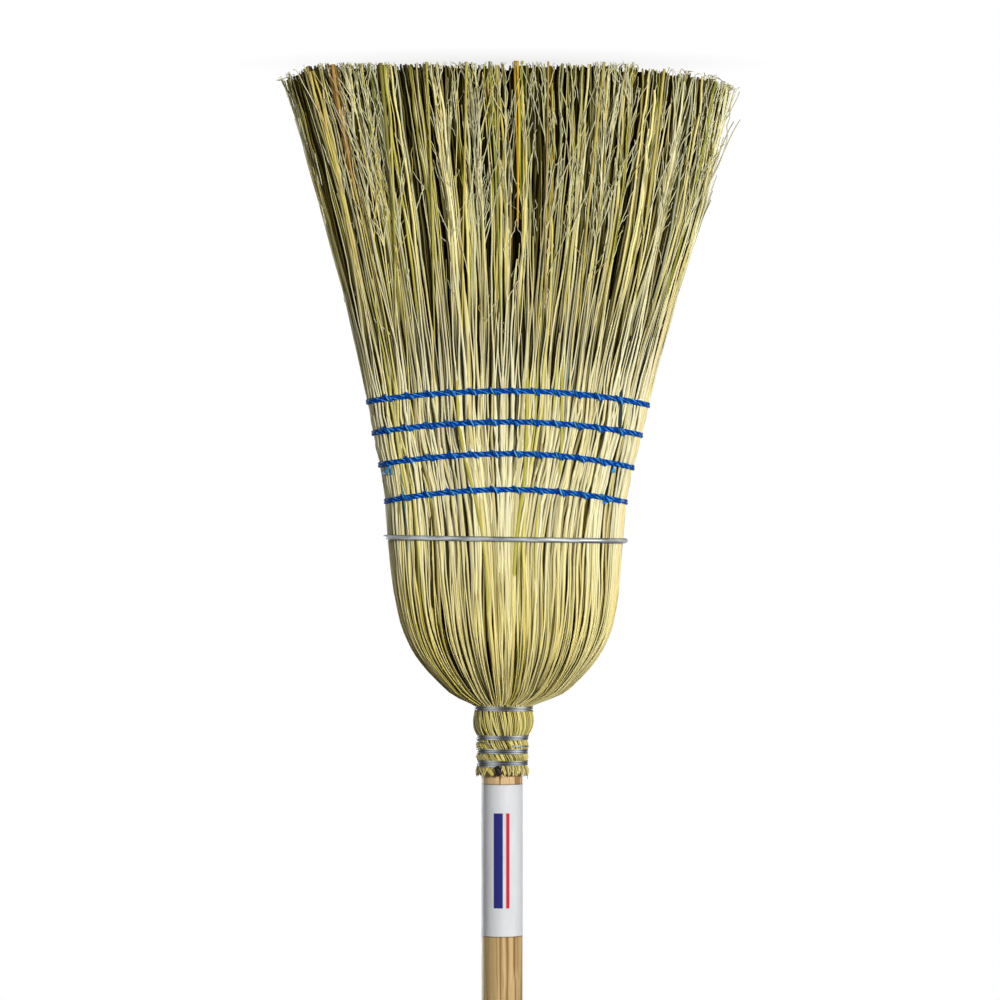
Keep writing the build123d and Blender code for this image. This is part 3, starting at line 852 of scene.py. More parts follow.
def feature_stalks():
    """The coloured stalks on the front, held in by the twine like the rest."""
    parts = []
    for width, colour, line in FEATURE_STALKS:
        x, _, height = rounded(np.insert(np.array(line), 1, 0.0, axis=1), FEATURE_STEP).T
        share = np.linspace(0, 1, len(height))
        buried = 1 - smooth_step(share, *FEATURE_START) + smooth_step(share, *FEATURE_END)
        sunk = FEATURE_SINK * buried + pinched(x + head_lean(height), height)
        parts.append(stem(x, height, sunk, width / 2, colour))
    return parts


HURL = dict(count=330, clumps=OUTER_CLUMPS, depth=(0.4, 3.9), width=1.75,
            feet=((60, 190), (0.5, 45)), shade=1, pile=5)
# The shoulder corn lies under the hurl, and its colours are darkened by painted shade
SHOULDER = dict(count=150, clumps=UNDER_CLUMPS, depth=(4.4, 5.6), width=2.4,
                feet=((120, 200),), shade=np.array([0.2, 0.175, 0.096]), pile=3)


def sewn_head():
    """The hurl front and back, and the shoulder corn under it left and right."""
    for name, turns in COVERS.items():
        parts = [stalks(*turns, **HURL)]
        if name == "front":
            parts += feature_stalks()
        make_piece(f"{name}_hurl_stalks", parts, corn, "corn", f"{name}_hurl")
    for name, turns in SHOULDERS.items():
        layer = stalks(*turns, **SHOULDER)
        make_piece(f"{name}_shoulder_stalks", [layer], inner_corn, "corn", f"{name}_shoulder_corn")


# Inside bundle: how far under the outside it lies on the head and on the neck
CORE_INSET = 6.6
CORE_NECK_INSET = 1.6
CORE_DRAWN_IN = 430
CORE_TOP = 489
CORE_BOTTOM = 216
CORE_LEVELS = 60
CORE_RIDGES = 150
CORE_RIDGE = 0.5
# Its colours are painted shade, near black on the head and dark at the neck
CORE_PAINTED_SHADE = (28, 22, 10)
CORE_NECK_PAINTED_SHADE = (66, 54, 22)


def inside_bundle():
    """The inside bundle that closes the gaps, painted dark as shade, ridged by its own stalks."""
    height = np.linspace(CORE_BOTTOM, CORE_TOP, CORE_LEVELS)
    turn = np.arange(CORE_RIDGES) / CORE_RIDGES
    ridge = np.where(np.arange(CORE_RIDGES) % 2, CORE_RIDGE, -CORE_RIDGE)
    at_neck = height > NECK_START
    neck = neck_radius(height) - CORE_NECK_INSET
    across = np.where(at_neck, neck, half_width(height) - CORE_INSET)
    drawn_in = np.where(height > CORE_DRAWN_IN, half_width(height) - CORE_NECK_INSET, across)
    across = np.minimum(across, drawn_in)
    deep = np.minimum(np.where(at_neck, neck, half_depth(height) - CORE_INSET), across)
    x, y, out_x, out_y = oval(turn, across[:, None], deep[:, None])
    lean = np.where(at_neck, neck_lean(height), head_lean(height))[:, None]
    rings = np.stack([x + out_x * ridge - lean, y + out_y * ridge, height[:, None] + 0 * x], -1)[None]
    tints = np.where(at_neck[:, None, None], linear(*CORE_NECK_PAINTED_SHADE), linear(*CORE_PAINTED_SHADE))
    part = mesh_part(rings, tints, rings)
    make_piece("inside_corn_bundle", [part], inner_corn, "inside_corn", "inside_corn")


# Neck corn between the wires: lowest, highest, stalks, slant, its spread, and stalk width.
# It lies proud of the neck's form and down to a depth, slants most at +X, and covers the wire once.
NECK_STRETCHES = [
    (446, 468.6, 210, -8, 1.9, 0.95),
    (470.6, 477.4, 150, -6, 0.7, 1.05),
    (479.8, 485.8, 150, -6, 0.7, 1.05),
    (488.2, 495, 190, -2, 4.2, 0.9),
]
NECK_POINTS = 12
NECK_PROUD = 0.1
NECK_DEPTH = 0.9
NECK_WIDTHS = (0.65, 1.35)
NECK_PLACES = (0.1, 0.9)
NECK_SIDE_SLANT = 0.4
NECK_TONE = np.array([0.98, 0.92, 0.54])
COVERED_STRETCH = 1
WIRE_COVER = 0.055
COVER_RISE = 1.5
# The last stretch is the trimmed fringe
FRINGE_RAGGED = 0.7
FRINGE_TONE = np.array([1.0, 0.9, 0.6])


def around(turn, radius, height):
    """Place and outward direction round the neck."""
    outward = np.stack([np.sin(tau * turn), -np.cos(tau * turn), 0 * turn], -1)
    place = outward * radius[..., None]
    place[..., 0] -= neck_lean(height)
    place[..., 2] = height
    return place, outward


def neck_corn():
    """Corn at the neck, slanting as the wire pulled it, with a ragged trimmed fringe."""
    parts = []
    share = np.linspace(0, 1, NECK_POINTS)
    for number, (low, high, count, slant, slant_spread, width) in enumerate(NECK_STRETCHES):
        fringe = number == len(NECK_STRETCHES) - 1
        top = high + fringe * chance.normal(0, FRINGE_RAGGED, count)
        height = low + (top - low)[:, None] * share
        level = layered(NECK_LEVELS, count)
        radius = neck_radius(height) + NECK_PROUD - NECK_DEPTH * level
        start = np.arange(count) / count
        over_wire = (number == COVERED_STRETCH) & (abs(short_way(start)) < WIRE_COVER)
        radius = radius + COVER_RISE * over_wire[:, None] * np.sin(pi * share)
        slanted = 1 - NECK_SIDE_SLANT + NECK_SIDE_SLANT * np.sin(tau * start)[:, None]
        lean = chance.normal(slant, slant_spread, (count, 1)) * slanted * (share - 0.5)
        places = (np.arange(count) + chance.uniform(*NECK_PLACES, count))[:, None] / count
        turn = places + lean / (tau * radius)
        place, outward = around(turn, radius, height)
        across = chance.uniform(*NECK_WIDTHS, (count, 1)) * width / 2
        tint = pick(CORN_COLOURS, count, NECK_SPREAD) * (FRINGE_TONE if fringe else NECK_TONE)
        # Deeper neck stalks get painted shade
        parts.append(tubes(place, outward, across, (tint * shaded(level))[:, None], "neck_stalk"))
    make_piece("neck_corn_stalks", parts, corn, "corn")


# Bristles start sunk under the twine, with painted shade there, and some stop well short of the tips
ROOT_HEIGHT = 262
ROOT_SINK = 2.8
ROOT_REACH = (130, 215)
ROOT_LOSS = 0.88
FREE_START = 232
EARLY_SHARE = 0.25
EARLY_SHORT = (3, 60)
TIP_SCATTER = 0.8
LOWEST_TIP = 0.6
# Waves of the free strands to the side and outward: growth, then size and lengths
SIDE_WAVES = [(1.1, (0.9, 60, 170)), (1.3, (0.45, 18, 45))]
DEPTH_SCATTER = 0.8
OUTWARD_GROWTH = 1.5
OUTWARD_WAVES = [(0.7, 50, 140), (0.4, 28, 60)]
# They are darker and greener about the middle: where, how wide, and the loss of each colour
MIDDLE_PLACE = -22
MIDDLE_WIDTH = 55
MIDDLE_LOSS = np.array([0.2, 0.22, 0.48])
MIDDLE_FRIZZ_LOSS = 0.6
THINNING = 0.15
# Under the outside, painted shade lifts towards the tips, where light gets in, over this length
TIP_REACH = 55


def bristles(start, end, count, clumps, depth, radii, points, section, shade=1, tip_shade=1, back=0):
    """Strands that leave the sewing together, gather into clumps and stop at the cut line."""
    turn = scattered(count, start, end)
    clump = clump_of(turn, clumps)
    early = chance.uniform(0, 1, count) < EARLY_SHARE
    short = np.where(early, chance.uniform(*EARLY_SHORT, count), chance.exponential(TIP_SCATTER, count))
    tip = np.maximum(tip_height(turn) + clump["rise"][:, 0] + short + back, LOWEST_TIP)
    height = ROOT_HEIGHT - (ROOT_HEIGHT - tip)[:, None] * np.linspace(0, 1, points)
    free = np.clip((FREE_START - height) / SEWN_END, 0, 1)
    here = gathered(turn, clump, free)
    share = layered(BRISTLE_LEVELS, count)
    sunk = smooth_step(height, *ROOT_REACH)
    inward = depth[0] + (depth[1] - depth[0]) * share + clump["depth"] * free + ROOT_SINK * sunk
    inward = inward + chance.normal(0, DEPTH_SCATTER, (count, 1)) * free
    place, outward = head_point(here, height, inward)
    aside = clump_wave(clump, free)
    for growth, form in SIDE_WAVES:
        aside = aside + free**growth * wave(height, *form)
    aside = aside + free * chance.normal(0, FREE_SLANT, (count, 1))
    bulge = free**OUTWARD_GROWTH * sum(wave(height, *form) for form in OUTWARD_WAVES)
    place = place + sideways_of(outward) * aside[..., None] + outward * bulge[..., None]
    radius = chance.uniform(*radii, (count, 1)) * (1 - THINNING * free)
    tint = pick(BRISTLE_COLOURS, count, BRISTLE_SPREAD) * clump["tone"] * shaded(share)
    # Painted shade under the outside, lifting towards the tips as painted light
    near_tip = smooth_step(height - tip[:, None], TIP_REACH, 0)[..., None]
    # Painted shade where the bristles lie sunk under the twine
    tint = tint[:, None] * (shade + (tip_shade - shade) * near_tip) * (1 - ROOT_LOSS * sunk[..., None])
    middle = np.exp(-(((place[..., 0] - MIDDLE_PLACE) / MIDDLE_WIDTH) ** 2)) * free
    tint = tint * (1 - middle[..., None] * MIDDLE_LOSS)
    frizz = clump["frizz"][:, 0] * (1 - MIDDLE_FRIZZ_LOSS * middle[:, -1])
    return {"place": place, "outward": outward, "frizz": frizz, "form": (radius, tint, section)}


def strand_tubes(bundle):
    """The tubes of a bundle of bristles."""
    return tubes(bundle["place"], bundle["outward"], *bundle["form"])


# Wisps on stems (0) and hairs (1): count, greatest length, reach along the strand, lean aside
WISPS = [(0, 680, 58, (0.5, 0.96), 0.15), (1, 220, 58, (0.5, 0.96), 0.15), (0, 50, 22, (0.25, 0.6), 0.4)]
WISP_POINTS = 10
WISP_RADII = (0.36, 0.5)
WISP_END = 0.75
WISP_SHORTEST = 10
# They keep clear of the floor and end a little past the cut line
WISP_CLEARANCE = 1.5
WISP_ROOM = 2.0
LEAST_FALL = 0.2
WISP_PAST_CUT = 3.0
WISP_LOWEST = 0.5
WISP_RISE = 0.02
# How they lift off the face of the head, kink aside and jog outward
WISP_LIFT = 0.1
WISP_KINK = 1.0
WISP_JOG = 0.4


def wisps(bundle, count, longest, reach, leaning):
    """Short kinked branchlets on the strands of the frayed clumps."""
    place, outward = bundle["place"], bundle["outward"]
    last = place.shape[1] - 1
    host = chance.choice(len(place), count, p=bundle["frizz"] / bundle["frizz"].sum())
    at = (place.shape[1] * chance.uniform(*reach, count)).astype(int)
    base, out = place[host, at], outward[host, at]
    along = unit(place[host, np.minimum(at + 1, last)] - place[host, at - 1])
    room = np.maximum((base[:, 2:] - WISP_CLEARANCE) / np.maximum(-along[:, 2:], LEAST_FALL), WISP_ROOM)
    length = np.minimum(chance.uniform(WISP_SHORTEST, longest, (count, 1)), room)
    share = np.linspace(0, 1, WISP_POINTS)
    travel = share * length
    on_face = 1 - abs(out[:, :1])
    lean = chance.normal(0, leaning, (count, 1))
    lift = abs(chance.normal(0, WISP_LIFT, (count, 1))) * on_face
    kink = chance.normal(0, WISP_KINK, (count, WISP_POINTS)).cumsum(axis=1) * share
    jog = chance.normal(0, WISP_JOG, (count, WISP_POINTS)).cumsum(axis=1) * share * on_face
    points = base[:, None] + along[:, None] * travel[..., None]
    points = points + sideways_of(out)[:, None] * (travel * lean + kink)[..., None]
    points = points + out[:, None] * (travel * lift + jog)[..., None]
    cut = np.maximum(cut_line(points[..., 0]) - chance.uniform(0, WISP_PAST_CUT, (count, 1)), WISP_LOWEST)
    points[..., 2] = np.maximum(points[..., 2], cut + WISP_RISE * travel)
    radius = chance.uniform(*WISP_RADII, (count, 1)) * np.linspace(1, WISP_END, WISP_POINTS)
    return tubes(points, out[:, None], radius, pick(WISP_COLOURS, count, WISP_SPREAD)[:, None], "wisp")


# Thick stems on the front: x and height at the tips and at the top, width, colour
FEATURE_STEMS = [
    # The gold stem: its darker left strip is its shaded side, painted, beside the bright gold and a green
    # edge
    (-9.4, 0.8, -10.4, 115, 1.7, (190, 152, 52)),
    (-10.9, 0.8, -11.6, 115, 1.9, (234, 198, 62)),
    (-13.4, 0.8, -13, 108, 1.2, (170, 172, 60)),
    (121, 2.8, 103.4, 86, 2.6, (128, 94, 44)),
    (117, 2.8, 101, 100, 2.8, (194, 154, 86)),
    # A thin dark stem in the gap between the two brown blades: painted shade
    (118.9, 3, 102.2, 80, 1, (84, 62, 28)),
    (115.2, 2.8, 100.2, 90, 1, (160, 118, 58)),
    (8.4, 1.2, -0.8, 205, 1.4, (172, 176, 84)),
    (83.6, 2, 70.4, 180, 2.8, (146, 138, 66)),
    (76.9, 45, 72.5, 200, 1.7, (216, 203, 112)),
    (25.3, 1.4, 27.2, 200, 1.7, (210, 192, 92)),
    (-70, 1.4, -52, 190, 2.2, (200, 184, 100)),
    (52, 1.4, 46, 195, 1.8, (194, 186, 88)),
    (-31.4, 1.2, -30, 190, 1.4, (190, 160, 96)),
    (-112, 6, -90, 190, 1.9, (210, 195, 108)),
]
STEM_POINTS = 18
# They come out at the top, stand proud below, taper upward and bend a little
STEM_SINK = 3.6
STEM_PROUD = 0.7
STEM_EMERGES = 0.25
STEM_TAPER = 0.55
STEM_BEND = 0.6
STEM_BEND_TURN = 5


def feature_stems():
    """The thick coloured stems on the front."""
    parts = []
    share = np.linspace(0, 1, STEM_POINTS)
    for tip_x, tip_z, top_x, top_z, width, colour in FEATURE_STEMS:
        height = top_z + (tip_z - top_z) * share
        x = top_x + (tip_x - top_x) * share + STEM_BEND * np.sin(STEM_BEND_TURN * share + tip_x)
        sunk = STEM_SINK * (1 - smooth_step(share, 0.0, STEM_EMERGES)) - STEM_PROUD
        radius = width / 2 * (1 - STEM_TAPER + STEM_TAPER * share)
        parts.append(stem(x, height, sunk, radius, colour))
    return parts


# Stray hairs off the ends of the head: colour, radius, y, and x and height along each
STRAY_HAIRS = [
    ((206, 200, 150), 0.36, -6, [
        (-142.2, 87.8), (-147, 78.4), (-151.4, 69.6), (-154.9, 59.8), (-157.3, 50), (-155.8, 43.1),
        (-158.8, 39.2), (-158.3, 31.4), (-161.2, 19.7)]),
    ((190, 186, 140), 0.34, -2, [
        (-145.7, 80.9), (-153.3, 64.1), (-159.3, 50.5), (-162.4, 44.6), (-165.9, 39)]),
    ((96, 98, 66), 0.34, -4, [(143, 34), (145.7, 25.1), (147.4, 21.2), (150.8, 16.7), (153.3, 10.9)]),
]
HAIR_STEP = 3


def stray_hairs():
    """The few hairs that stand off on their own."""
    parts = []
    for colour, radius, y, line in STRAY_HAIRS:
        path = rounded(np.insert(np.array(line), 1, y, axis=1), HAIR_STEP)[None]
        parts.append(tubes(path, FRONT, radius, linear(*colour), "stray_hair"))
    return parts


# Bundles of bristles. The inside one has three bands of depth. Those under the outside and inside have
# painted shade, lighter at the tips.
STEMS = dict(count=145, clumps=OUTER_CLUMPS, depth=(0.3, 4.2), radii=(0.5, 1.1), points=32,
             section="bristle")
HAIRS = dict(count=120, clumps=OUTER_CLUMPS, depth=(0.2, 4.5), radii=(0.36, 0.5), points=32,
             section="thin_bristle")
UNDER = dict(count=300, clumps=UNDER_CLUMPS, depth=(5.8, 9.5), radii=(0.6, 1), points=18, back=0.6,
             section="inner_bristle", shade=np.array([0.12, 0.102, 0.046]),
             tip_shade=np.array([0.3, 0.265, 0.135]))
INSIDE = dict(count=290, clumps=INNER_CLUMPS, radii=(1.3, 2), points=16, back=1.5,
              section="inner_bristle", shade=np.array([0.062, 0.051, 0.022]),
              tip_shade=np.array([0.13, 0.112, 0.05]))
INSIDE_BANDS = [(10, 13), (13, 17), (17, 21)]
# Strands that close gaps at the ends of the front and back: turns from its middle, count, and tone, which
# is painted shade, deeper at the +X end
END_FILL = dict(clumps=UNDER_CLUMPS, depth=(3, 5.2), radii=(0.5, 0.9), points=24, section="inner_bristle")
END_FILLS = [
    (-0.25, -0.07, 100, np.array([0.64, 0.61, 0.5])),
    (0.09, 0.25, 60, np.array([0.36, 0.34, 0.27])),
]


def end_fill(middle):
    """The strands at both ends of the side of the head about a middle turn."""
    parts = []
    for start, end, count, shade in END_FILLS:
        bundle = bristles(middle + start, middle + end, count, shade=shade, tip_shade=shade, **END_FILL)
        parts.append(strand_tubes(bundle))
    return parts


def bristle_pieces():
    """Bristles below the sewing: front, back, left, right and inside."""
    for name, turns in COVERS.items():
        bundles = [bristles(*turns, **form) for form in (STEMS, HAIRS)]
        parts = [strand_tubes(bundle) for bundle in bundles] + end_fill(sum(turns) / 2)
        if name == "front":
            parts += feature_stems() + stray_hairs()
        make_piece(f"{name}_bristle_strands", parts, corn, "corn", f"{name}_bristles")
        branched = [wisps(bundles[kind], *form) for kind, *form in WISPS]
        make_piece(f"{name}_bristle_wisps", branched, corn, "corn", f"{name}_bristles")
    for name, turns in SHOULDERS.items():
        parts = [strand_tubes(bristles(*turns, **UNDER))]
        make_piece(f"{name}_bristle_strands", parts, inner_corn, "corn", f"{name}_bristles")
    parts = [strand_tubes(bristles(0.0, 1.0, depth=band, **INSIDE)) for band in INSIDE_BANDS]
    make_piece("inside_bristle_strands", parts, inner_corn, "inside_corn", "inside_bristles")


# Wraps: turns, the rise of each, where they start, and how far they stand proud
WRAP_TURNS = 2
WRAP_PITCH = 1.75
WRAP_START = 0.55
WRAP_POINTS = 900
WRAP_PROUD = 0.15
WRAP_STEP = 0.9
# Plies of both twines: length of a turn and radius. Then how far out they lie.
WRAP_PLIES = (9, 0.51)
STITCH_PLIES = (7.5, 0.64)
PLY_REACH = 1.2
# Sewing: its way through the head by side and how proud, and its height over the wraps
THROUGH = [(1, 0.7), (1, -3), (-1, -3), (-1, 0.7)]
STITCH_PROUD = 2.7
STITCH_STEP = 0.7
STITCH_UPRIGHT = np.array([0.13, 0.0, 1.0])


def twist(path, outward, colours, lay, radius):
    """Plies twisted round a line, one for each colour."""
    plies = len(colours)
    sideways, upward = directions(path, outward)
    angle = tau * (travelled(path) / lay + np.arange(plies)[:, None] / plies)
    radial = upward * np.cos(angle)[..., None] + sideways * np.sin(angle)[..., None]
    tint = np.array([linear(*colour) for colour in colours])[:, None]
    return tubes(path + radial * PLY_REACH * radius, radial, radius, tint, "ply")


def wrap_path(row):
    """Line and outward direction of the twine wrapped round the head at a row."""
    turned = np.linspace(0, WRAP_TURNS, WRAP_POINTS)
    turn = WRAP_START + turned
    height = np.full(turn.shape, row[0])
    for _ in range(3):
        x = head_point(turn, height, 0)[0][:, 0] + head_lean(height)
        height = row_height(row, x, height)
    place, outward = head_point(turn, height, -WRAP_PROUD)
    place[:, 2] += WRAP_PITCH * (turned - WRAP_TURNS / 2)
    line = resample(place, WRAP_STEP)
    nearest = np.linspace(0, len(place) - 1, len(line)).round().astype(int)
    return line, outward[nearest]


def stitch_path(row):
    """Line of the sewing: over the wraps on the front, through the head, over them on the back."""
    corners = []
    pitch = row[4]
    places = stitch_places(row)
    for place in places:
        for step in (-1, 1):
            x = place + step * STITCH_HALF_WIDTH
            height = row_height(row, x, row[1]) - step * STITCH_HALF_HEIGHT
            through = [side_point(x, height, side, proud) for side, proud in THROUGH]
            corners += through if step < 0 else through[::-1]
            over_x = place if step < 0 else place + pitch / 2
            if step < 0 or place < places[-1]:
                corners.append(side_point(over_x, row_height(row, over_x, row[1]), step, STITCH_PROUD))
    return rounded(np.array(corners), STITCH_STEP)


# Loose twine ends on the front: row, then x and height at both ends of each fan of filaments
TWINE_TAILS = {
    3: [(77.2, 279.6, 82.4, 285.6), (77.0, 280.0, 77.2, 286.2), (-77.4, 280.4, -77.2, 284.6)],
    4: [(-76.0, 304.6, -69.5, 300.6), (-76.0, 303.4, -71.0, 305.6)],
}
TAIL_FILAMENTS = 9
TAIL_POINTS = 7
TAIL_RADIUS = 0.3
TAIL_PROUD = 1
TAIL_LIFT = (0.2, 1.2)
# How far they fan out in x and height, and how that grows
TAIL_FAN = (0.7, 0.6)
FAN_GROWTH = 1.5


def twine_tail(start_x, start_z, end_x, end_z):
    """A short frayed end of twine, as a fan of filaments."""
    share = np.linspace(0, 1, TAIL_POINTS)
    lines = []
    for _ in range(TAIL_FILAMENTS):
        fan_x, fan_z = (chance.normal(0, fan) * share**FAN_GROWTH for fan in TAIL_FAN)
        x = start_x + (end_x - start_x) * share + fan_x
        height = start_z + (end_z - start_z) * share + fan_z
        proud = TAIL_PROUD + chance.uniform(*TAIL_LIFT) * share
        lines.append(side_point(x + head_lean(height), height, -1, proud))
    tint = pick(TAIL_COLOURS, TAIL_FILAMENTS, TAIL_SPREAD)[:, None]
    return tubes(np.array(lines), FRONT, TAIL_RADIUS, tint, "filament")


def twine_rows():
    """Each row's wrap and its sewing, with loose ends on two of them."""
    for number, row in enumerate(TWINE_ROWS, start=1):
        wrap = twist(*wrap_path(row), TWINE_COLOURS, *WRAP_PLIES)
        make_piece(f"wrap_twine_{number}_plies", [wrap], blue_twine, "blue_twine", f"wrap_twine_{number}")
        sewing = twist(stitch_path(row), STITCH_UPRIGHT, STITCH_COLOURS, *STITCH_PLIES)
        tails = [twine_tail(*ends) for ends in TWINE_TAILS.get(number, [])]
        node = f"sewing_twine_{number}"
        make_piece(f"{node}_plies", [sewing] + tails, blue_twine, "blue_twine", node)


# Neck wire: turns of each stretch of the left-hand winding, and the height where it ends
NECK_WIRE_START = 447.2
NECK_WIRE_STRETCHES = [
    (2.5, 450.2),
    (0.5, 467.5),
    (3, 470.9),
    (0.25, 474.3),
    (0.2, 474.9),
    (0.05, 476.3),
    (3, 480),
    (0.5, 485),
    (3.25, 488.9),
]
NECK_WIRE_RADIUS = 0.56
NECK_WIRE_POINTS = 1000
# It starts at +X, and its height is evened out over an odd number of points
NECK_WIRE_TURN = 0.25
EVENED_POINTS = 15
# Painted highlights on it: how many to a turn, where the first is, how they fade, and the dull tone
# between them
PAINTED_GLEAMS = 6
GLEAM_ANGLE = radians(-66)
GLEAM_FADE = 1.5
DULL_TONE = 0.12
# Hoop of thick wire, which slopes down a little towards +X
HOOP_HEIGHT = 331
HOOP_RADIUS = 1.8
HOOP_SLOPE = 0.015
HOOP_STANDOFF = 2
HOOP_POINTS = 240


def neck_wire():
    """The wire wound round the neck in four tight bands, one unbroken winding."""
    turns = np.cumsum([0.0] + [turn for turn, _ in NECK_WIRE_STRETCHES])
    heights = [NECK_WIRE_START] + [end for _, end in NECK_WIRE_STRETCHES]
    turn = np.linspace(0, turns[-1], NECK_WIRE_POINTS)
    padded = np.pad(np.interp(turn, turns, heights), EVENED_POINTS // 2, mode="edge")
    height = np.convolve(padded, np.ones(EVENED_POINTS) / EVENED_POINTS, mode="valid")
    path, outward = around(NECK_WIRE_TURN - turn, neck_radius(height) + NECK_WIRE_RADIUS, height)
    # Painted highlights: bright stretches round each turn; its section adds painted shade at the rims
    painted_light = 0.5 + 0.5 * np.cos(PAINTED_GLEAMS * (tau * turn + GLEAM_ANGLE))
    tone = DULL_TONE + (1 - DULL_TONE) * painted_light**GLEAM_FADE
    winding = tubes(path[None], outward[None], NECK_WIRE_RADIUS, tone[None, :, None], "neck_wire")
    make_piece("neck_wire_winding", [winding], painted_gleam_wire, "galvanised_wire", "neck_wire")


def shoulder_hoop():
    """The thick wire hoop round the shoulder, which closes at the back."""
    turn = np.linspace(0.5, 1.5, HOOP_POINTS)
    place, outward = head_point(turn, np.full(turn.shape, HOOP_HEIGHT), -HOOP_STANDOFF)
    place[:, 2] -= HOOP_SLOPE * place[:, 0]
    # Painted shade darkens the hoop's rims
    ring = tubes(place[None], outward[None], HOOP_RADIUS, 1.0, "hoop")
    make_piece("shoulder_hoop_wire", [ring], hoop_wire, "galvanised_wire", "shoulder_hoop")


# Bent head of the nail that holds the wire's end: height, reach from the axis, half width
NAIL_SECTIONS = [
    (489, 18.8, 1.1),
    (489.8, 19.5, 1.9),
    (491, 19.9, 2.2),
    (492.2, 19.6, 1.8),
    (493.4, 19.8, 2.1),
    (494.2, 19.1, 1.4),
    (494.6, 18.4, 0.6),
]
NAIL_TURN = 0.0203
# Its lean in x from its lowest to its highest section
NAIL_LEAN = (0.9, -1)
NAIL_ROUGHNESS = 0.45


def neck_nail():
    """The nail's head, hammered over against the neck."""
    height, reach, size = np.array(NAIL_SECTIONS).T
    outward = np.array([np.sin(tau * NAIL_TURN), -np.cos(tau * NAIL_TURN), 0.0])
    line = outward * reach[:, None]
    line[:, 0] += np.linspace(*NAIL_LEAN, len(height))
    line[:, 2] = height
    head = tubes(line[None], outward, size, 1.0, "nail")
    head["vertices"] = head["vertices"] + chance.normal(0, NAIL_ROUGHNESS, head["vertices"].shape)
    make_piece("neck_wire_nail_head", [head], nail_steel, "nail_steel")


# CAD nodes that keep their shape: their material and slot
PAINTED_NODES = {
    "handle": (handle_pine, "handle_wood"),
    "label_sleeve": (label_film, "label_film"),
    "neck_wire_nail": (nail_steel, "nail_steel"),
    "core_binding_wire": (galvanised, "galvanised_wire"),
    "core_wire_tack": (nail_steel, "nail_steel"),
}


def painted_nodes():
    """Give the CAD nodes that keep their shape their finish."""
    for name, (material, slot) in PAINTED_NODES.items():
        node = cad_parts[name]
        node.data.materials.clear()
        node.data.materials.append(material)


# Stage, in metres: how far the camera sees, the floor, and the part of it that shows a shadow
CLIP_END = 100
FLOOR_HALF = 40
FLOOR_LOOK = {"Base Color": (0.9, 0.9, 0.9), "Roughness": 0.9, "Specular IOR Level": 0.0}
SHADOW_SHARE = 0.16
SHADOW_REACH = (0.03, 0.12)
SHADOW_SHAPE = (0.62, 1, 1)
# Strength of the white that is seen, and of the light from all round
WHITE = 1
AMBIENT = 0.06
# Lamps: name, place, height on the axis to aim at, width and height, watts
LAMPS = [
    ("key", (-0.98, -1.88, 0.13), 0.3, 0.3, 0.24, 39),
    ("front_fill", (-0.3, -2.7, 0.45), 0.45, 1.4, 1.4, 8),
    ("back_light", (0.3, 2.6, 0.65), 0.65, 0.6, 1.2, 27),
    ("side_light", (1.8, 2.3, 0.65), 0.65, 0.6, 1.2, 42),
]


def camera():
    """The photograph's camera, upside down and far off."""
    data = bpy.data.cameras.new("photo_camera")
    data.sensor_width = SENSOR_WIDTH
    data.lens = SENSOR_WIDTH * CAMERA_DISTANCE / (PHOTO_SIZE * MM_PER_PIXEL)
    data.clip_end = CLIP_END
    made = add_object("photo_camera", data)
    x = (AXIS_COLUMN - PHOTO_SIZE / 2) * MM_PER_PIXEL * METRES
    z = (PHOTO_SIZE / 2 - TIP_ROW) * MM_PER_PIXEL * METRES
    turned = Matrix.Rotation(radians(90), 4, "X") @ Matrix.Rotation(radians(180), 4, "Z")
    made.matrix_world = Matrix.Translation((x, -CAMERA_DISTANCE * METRES, z)) @ turned
    bpy.context.scene.camera = made


def seen_directly(tree):
    """1 where the camera, or a mirror or glass, sees a surface."""
    path = add_node(tree, "ShaderNodeLightPath").outputs
    mirrored = maths(tree, "MAXIMUM", path["Is Camera Ray"], path["Is Glossy Ray"])
    return maths(tree, "MAXIMUM", mirrored, path["Is Transmission Ray"])


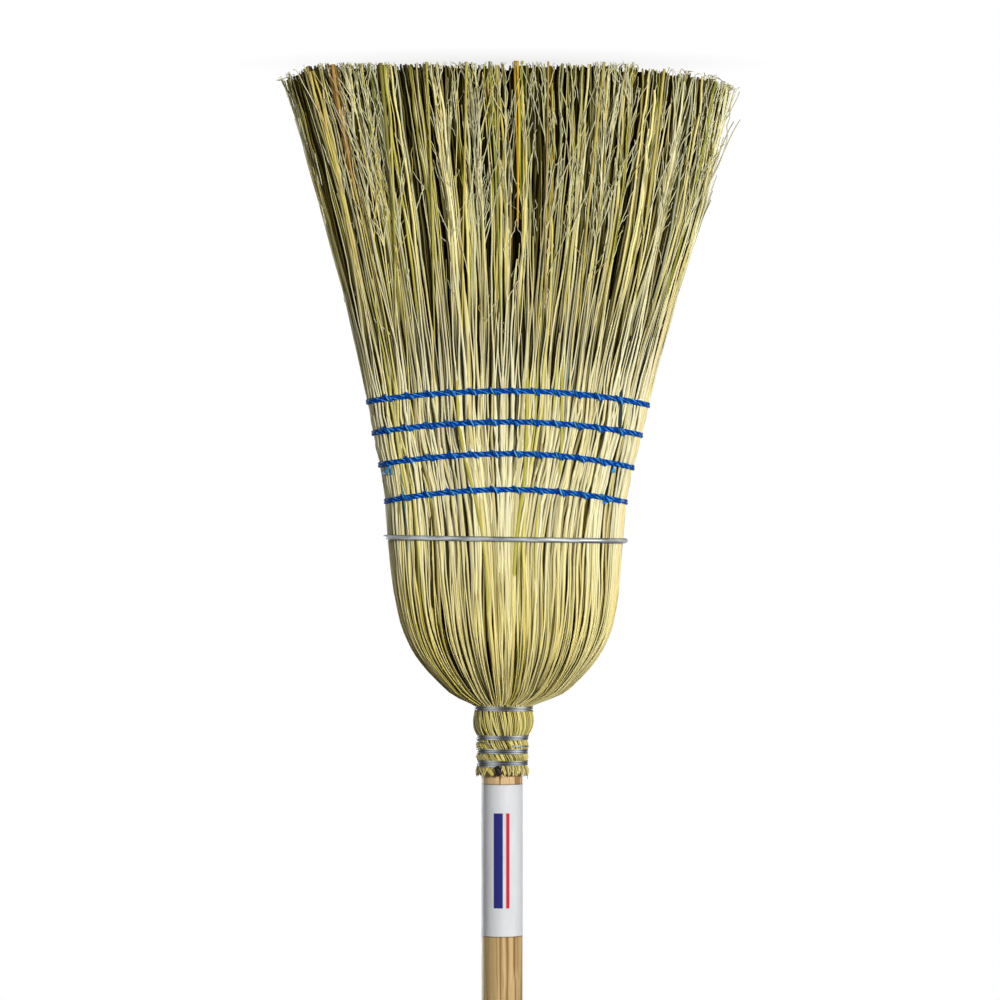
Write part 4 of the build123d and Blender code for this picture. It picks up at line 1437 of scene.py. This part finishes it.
def mixed(tree, factor, first, second):
    """A mix of two shaders."""
    return add_node(tree, "ShaderNodeMixShader", None, factor, first, second).outputs[0]


def floor():
    """A wide white floor that keeps the broom's soft shadow near its tips."""
    mesh = bpy.data.meshes.new("floor")
    corners = [(-1, -1), (1, -1), (1, 1), (-1, 1)]
    mesh.from_pydata([(FLOOR_HALF * x, FLOOR_HALF * y, 0) for x, y in corners], [], [(0, 1, 2, 3)])
    material, tree, shader = new_material("floor")
    set_inputs(tree, shader, FLOOR_LOOK)
    lit = shader.outputs[0]
    white = add_node(tree, "ShaderNodeEmission", Strength=WHITE).outputs[0]
    narrowed = vector_maths(tree, "MULTIPLY", place_of(tree), SHADOW_SHAPE)
    away = add_node(tree, "ShaderNodeVectorMath", {"operation": "LENGTH"}, narrowed).outputs["Value"]
    whiteness = spread(tree, away, 1 - SHADOW_SHARE, 1, *SHADOW_REACH)
    shown = mixed(tree, seen_directly(tree), lit, mixed(tree, whiteness, lit, white))
    set_inputs(tree, tree.nodes["Material Output"], {"Surface": shown})
    mesh.materials.append(material)
    add_object("floor", mesh)


def surroundings():
    """A white world, seen at full strength and lighting softly."""
    world = bpy.data.worlds.new("studio")
    world.use_nodes = True
    tree = world.node_tree
    strength = spread(tree, seen_directly(tree), AMBIENT, WHITE, 0.0, 1.0)
    set_inputs(tree, tree.nodes["Background"], {"Color": (1.0, 1.0, 1.0), "Strength": strength})
    bpy.context.scene.world = world


def lamps():
    """A key from the photograph's right, a weak front fill, and lights for the back and the +X side."""
    for name, place, aim, width, tall, power in LAMPS:
        data = bpy.data.lights.new(name, "AREA")
        data.shape = "RECTANGLE"
        data.size = width
        data.size_y = tall
        data.energy = power
        made = add_object(name, data)
        made.location = place
        towards = Vector((0.0, 0.0, aim)) - made.location
        made.rotation_euler = towards.to_track_quat("-Z", "Y").to_euler()


bpy.context.scene.view_settings.view_transform = "Standard"
camera()
floor()
surroundings()
lamps()
sewn_head()
inside_bundle()
neck_corn()
bristle_pieces()
twine_rows()
neck_wire()
neck_nail()
shoulder_hoop()
painted_nodes()
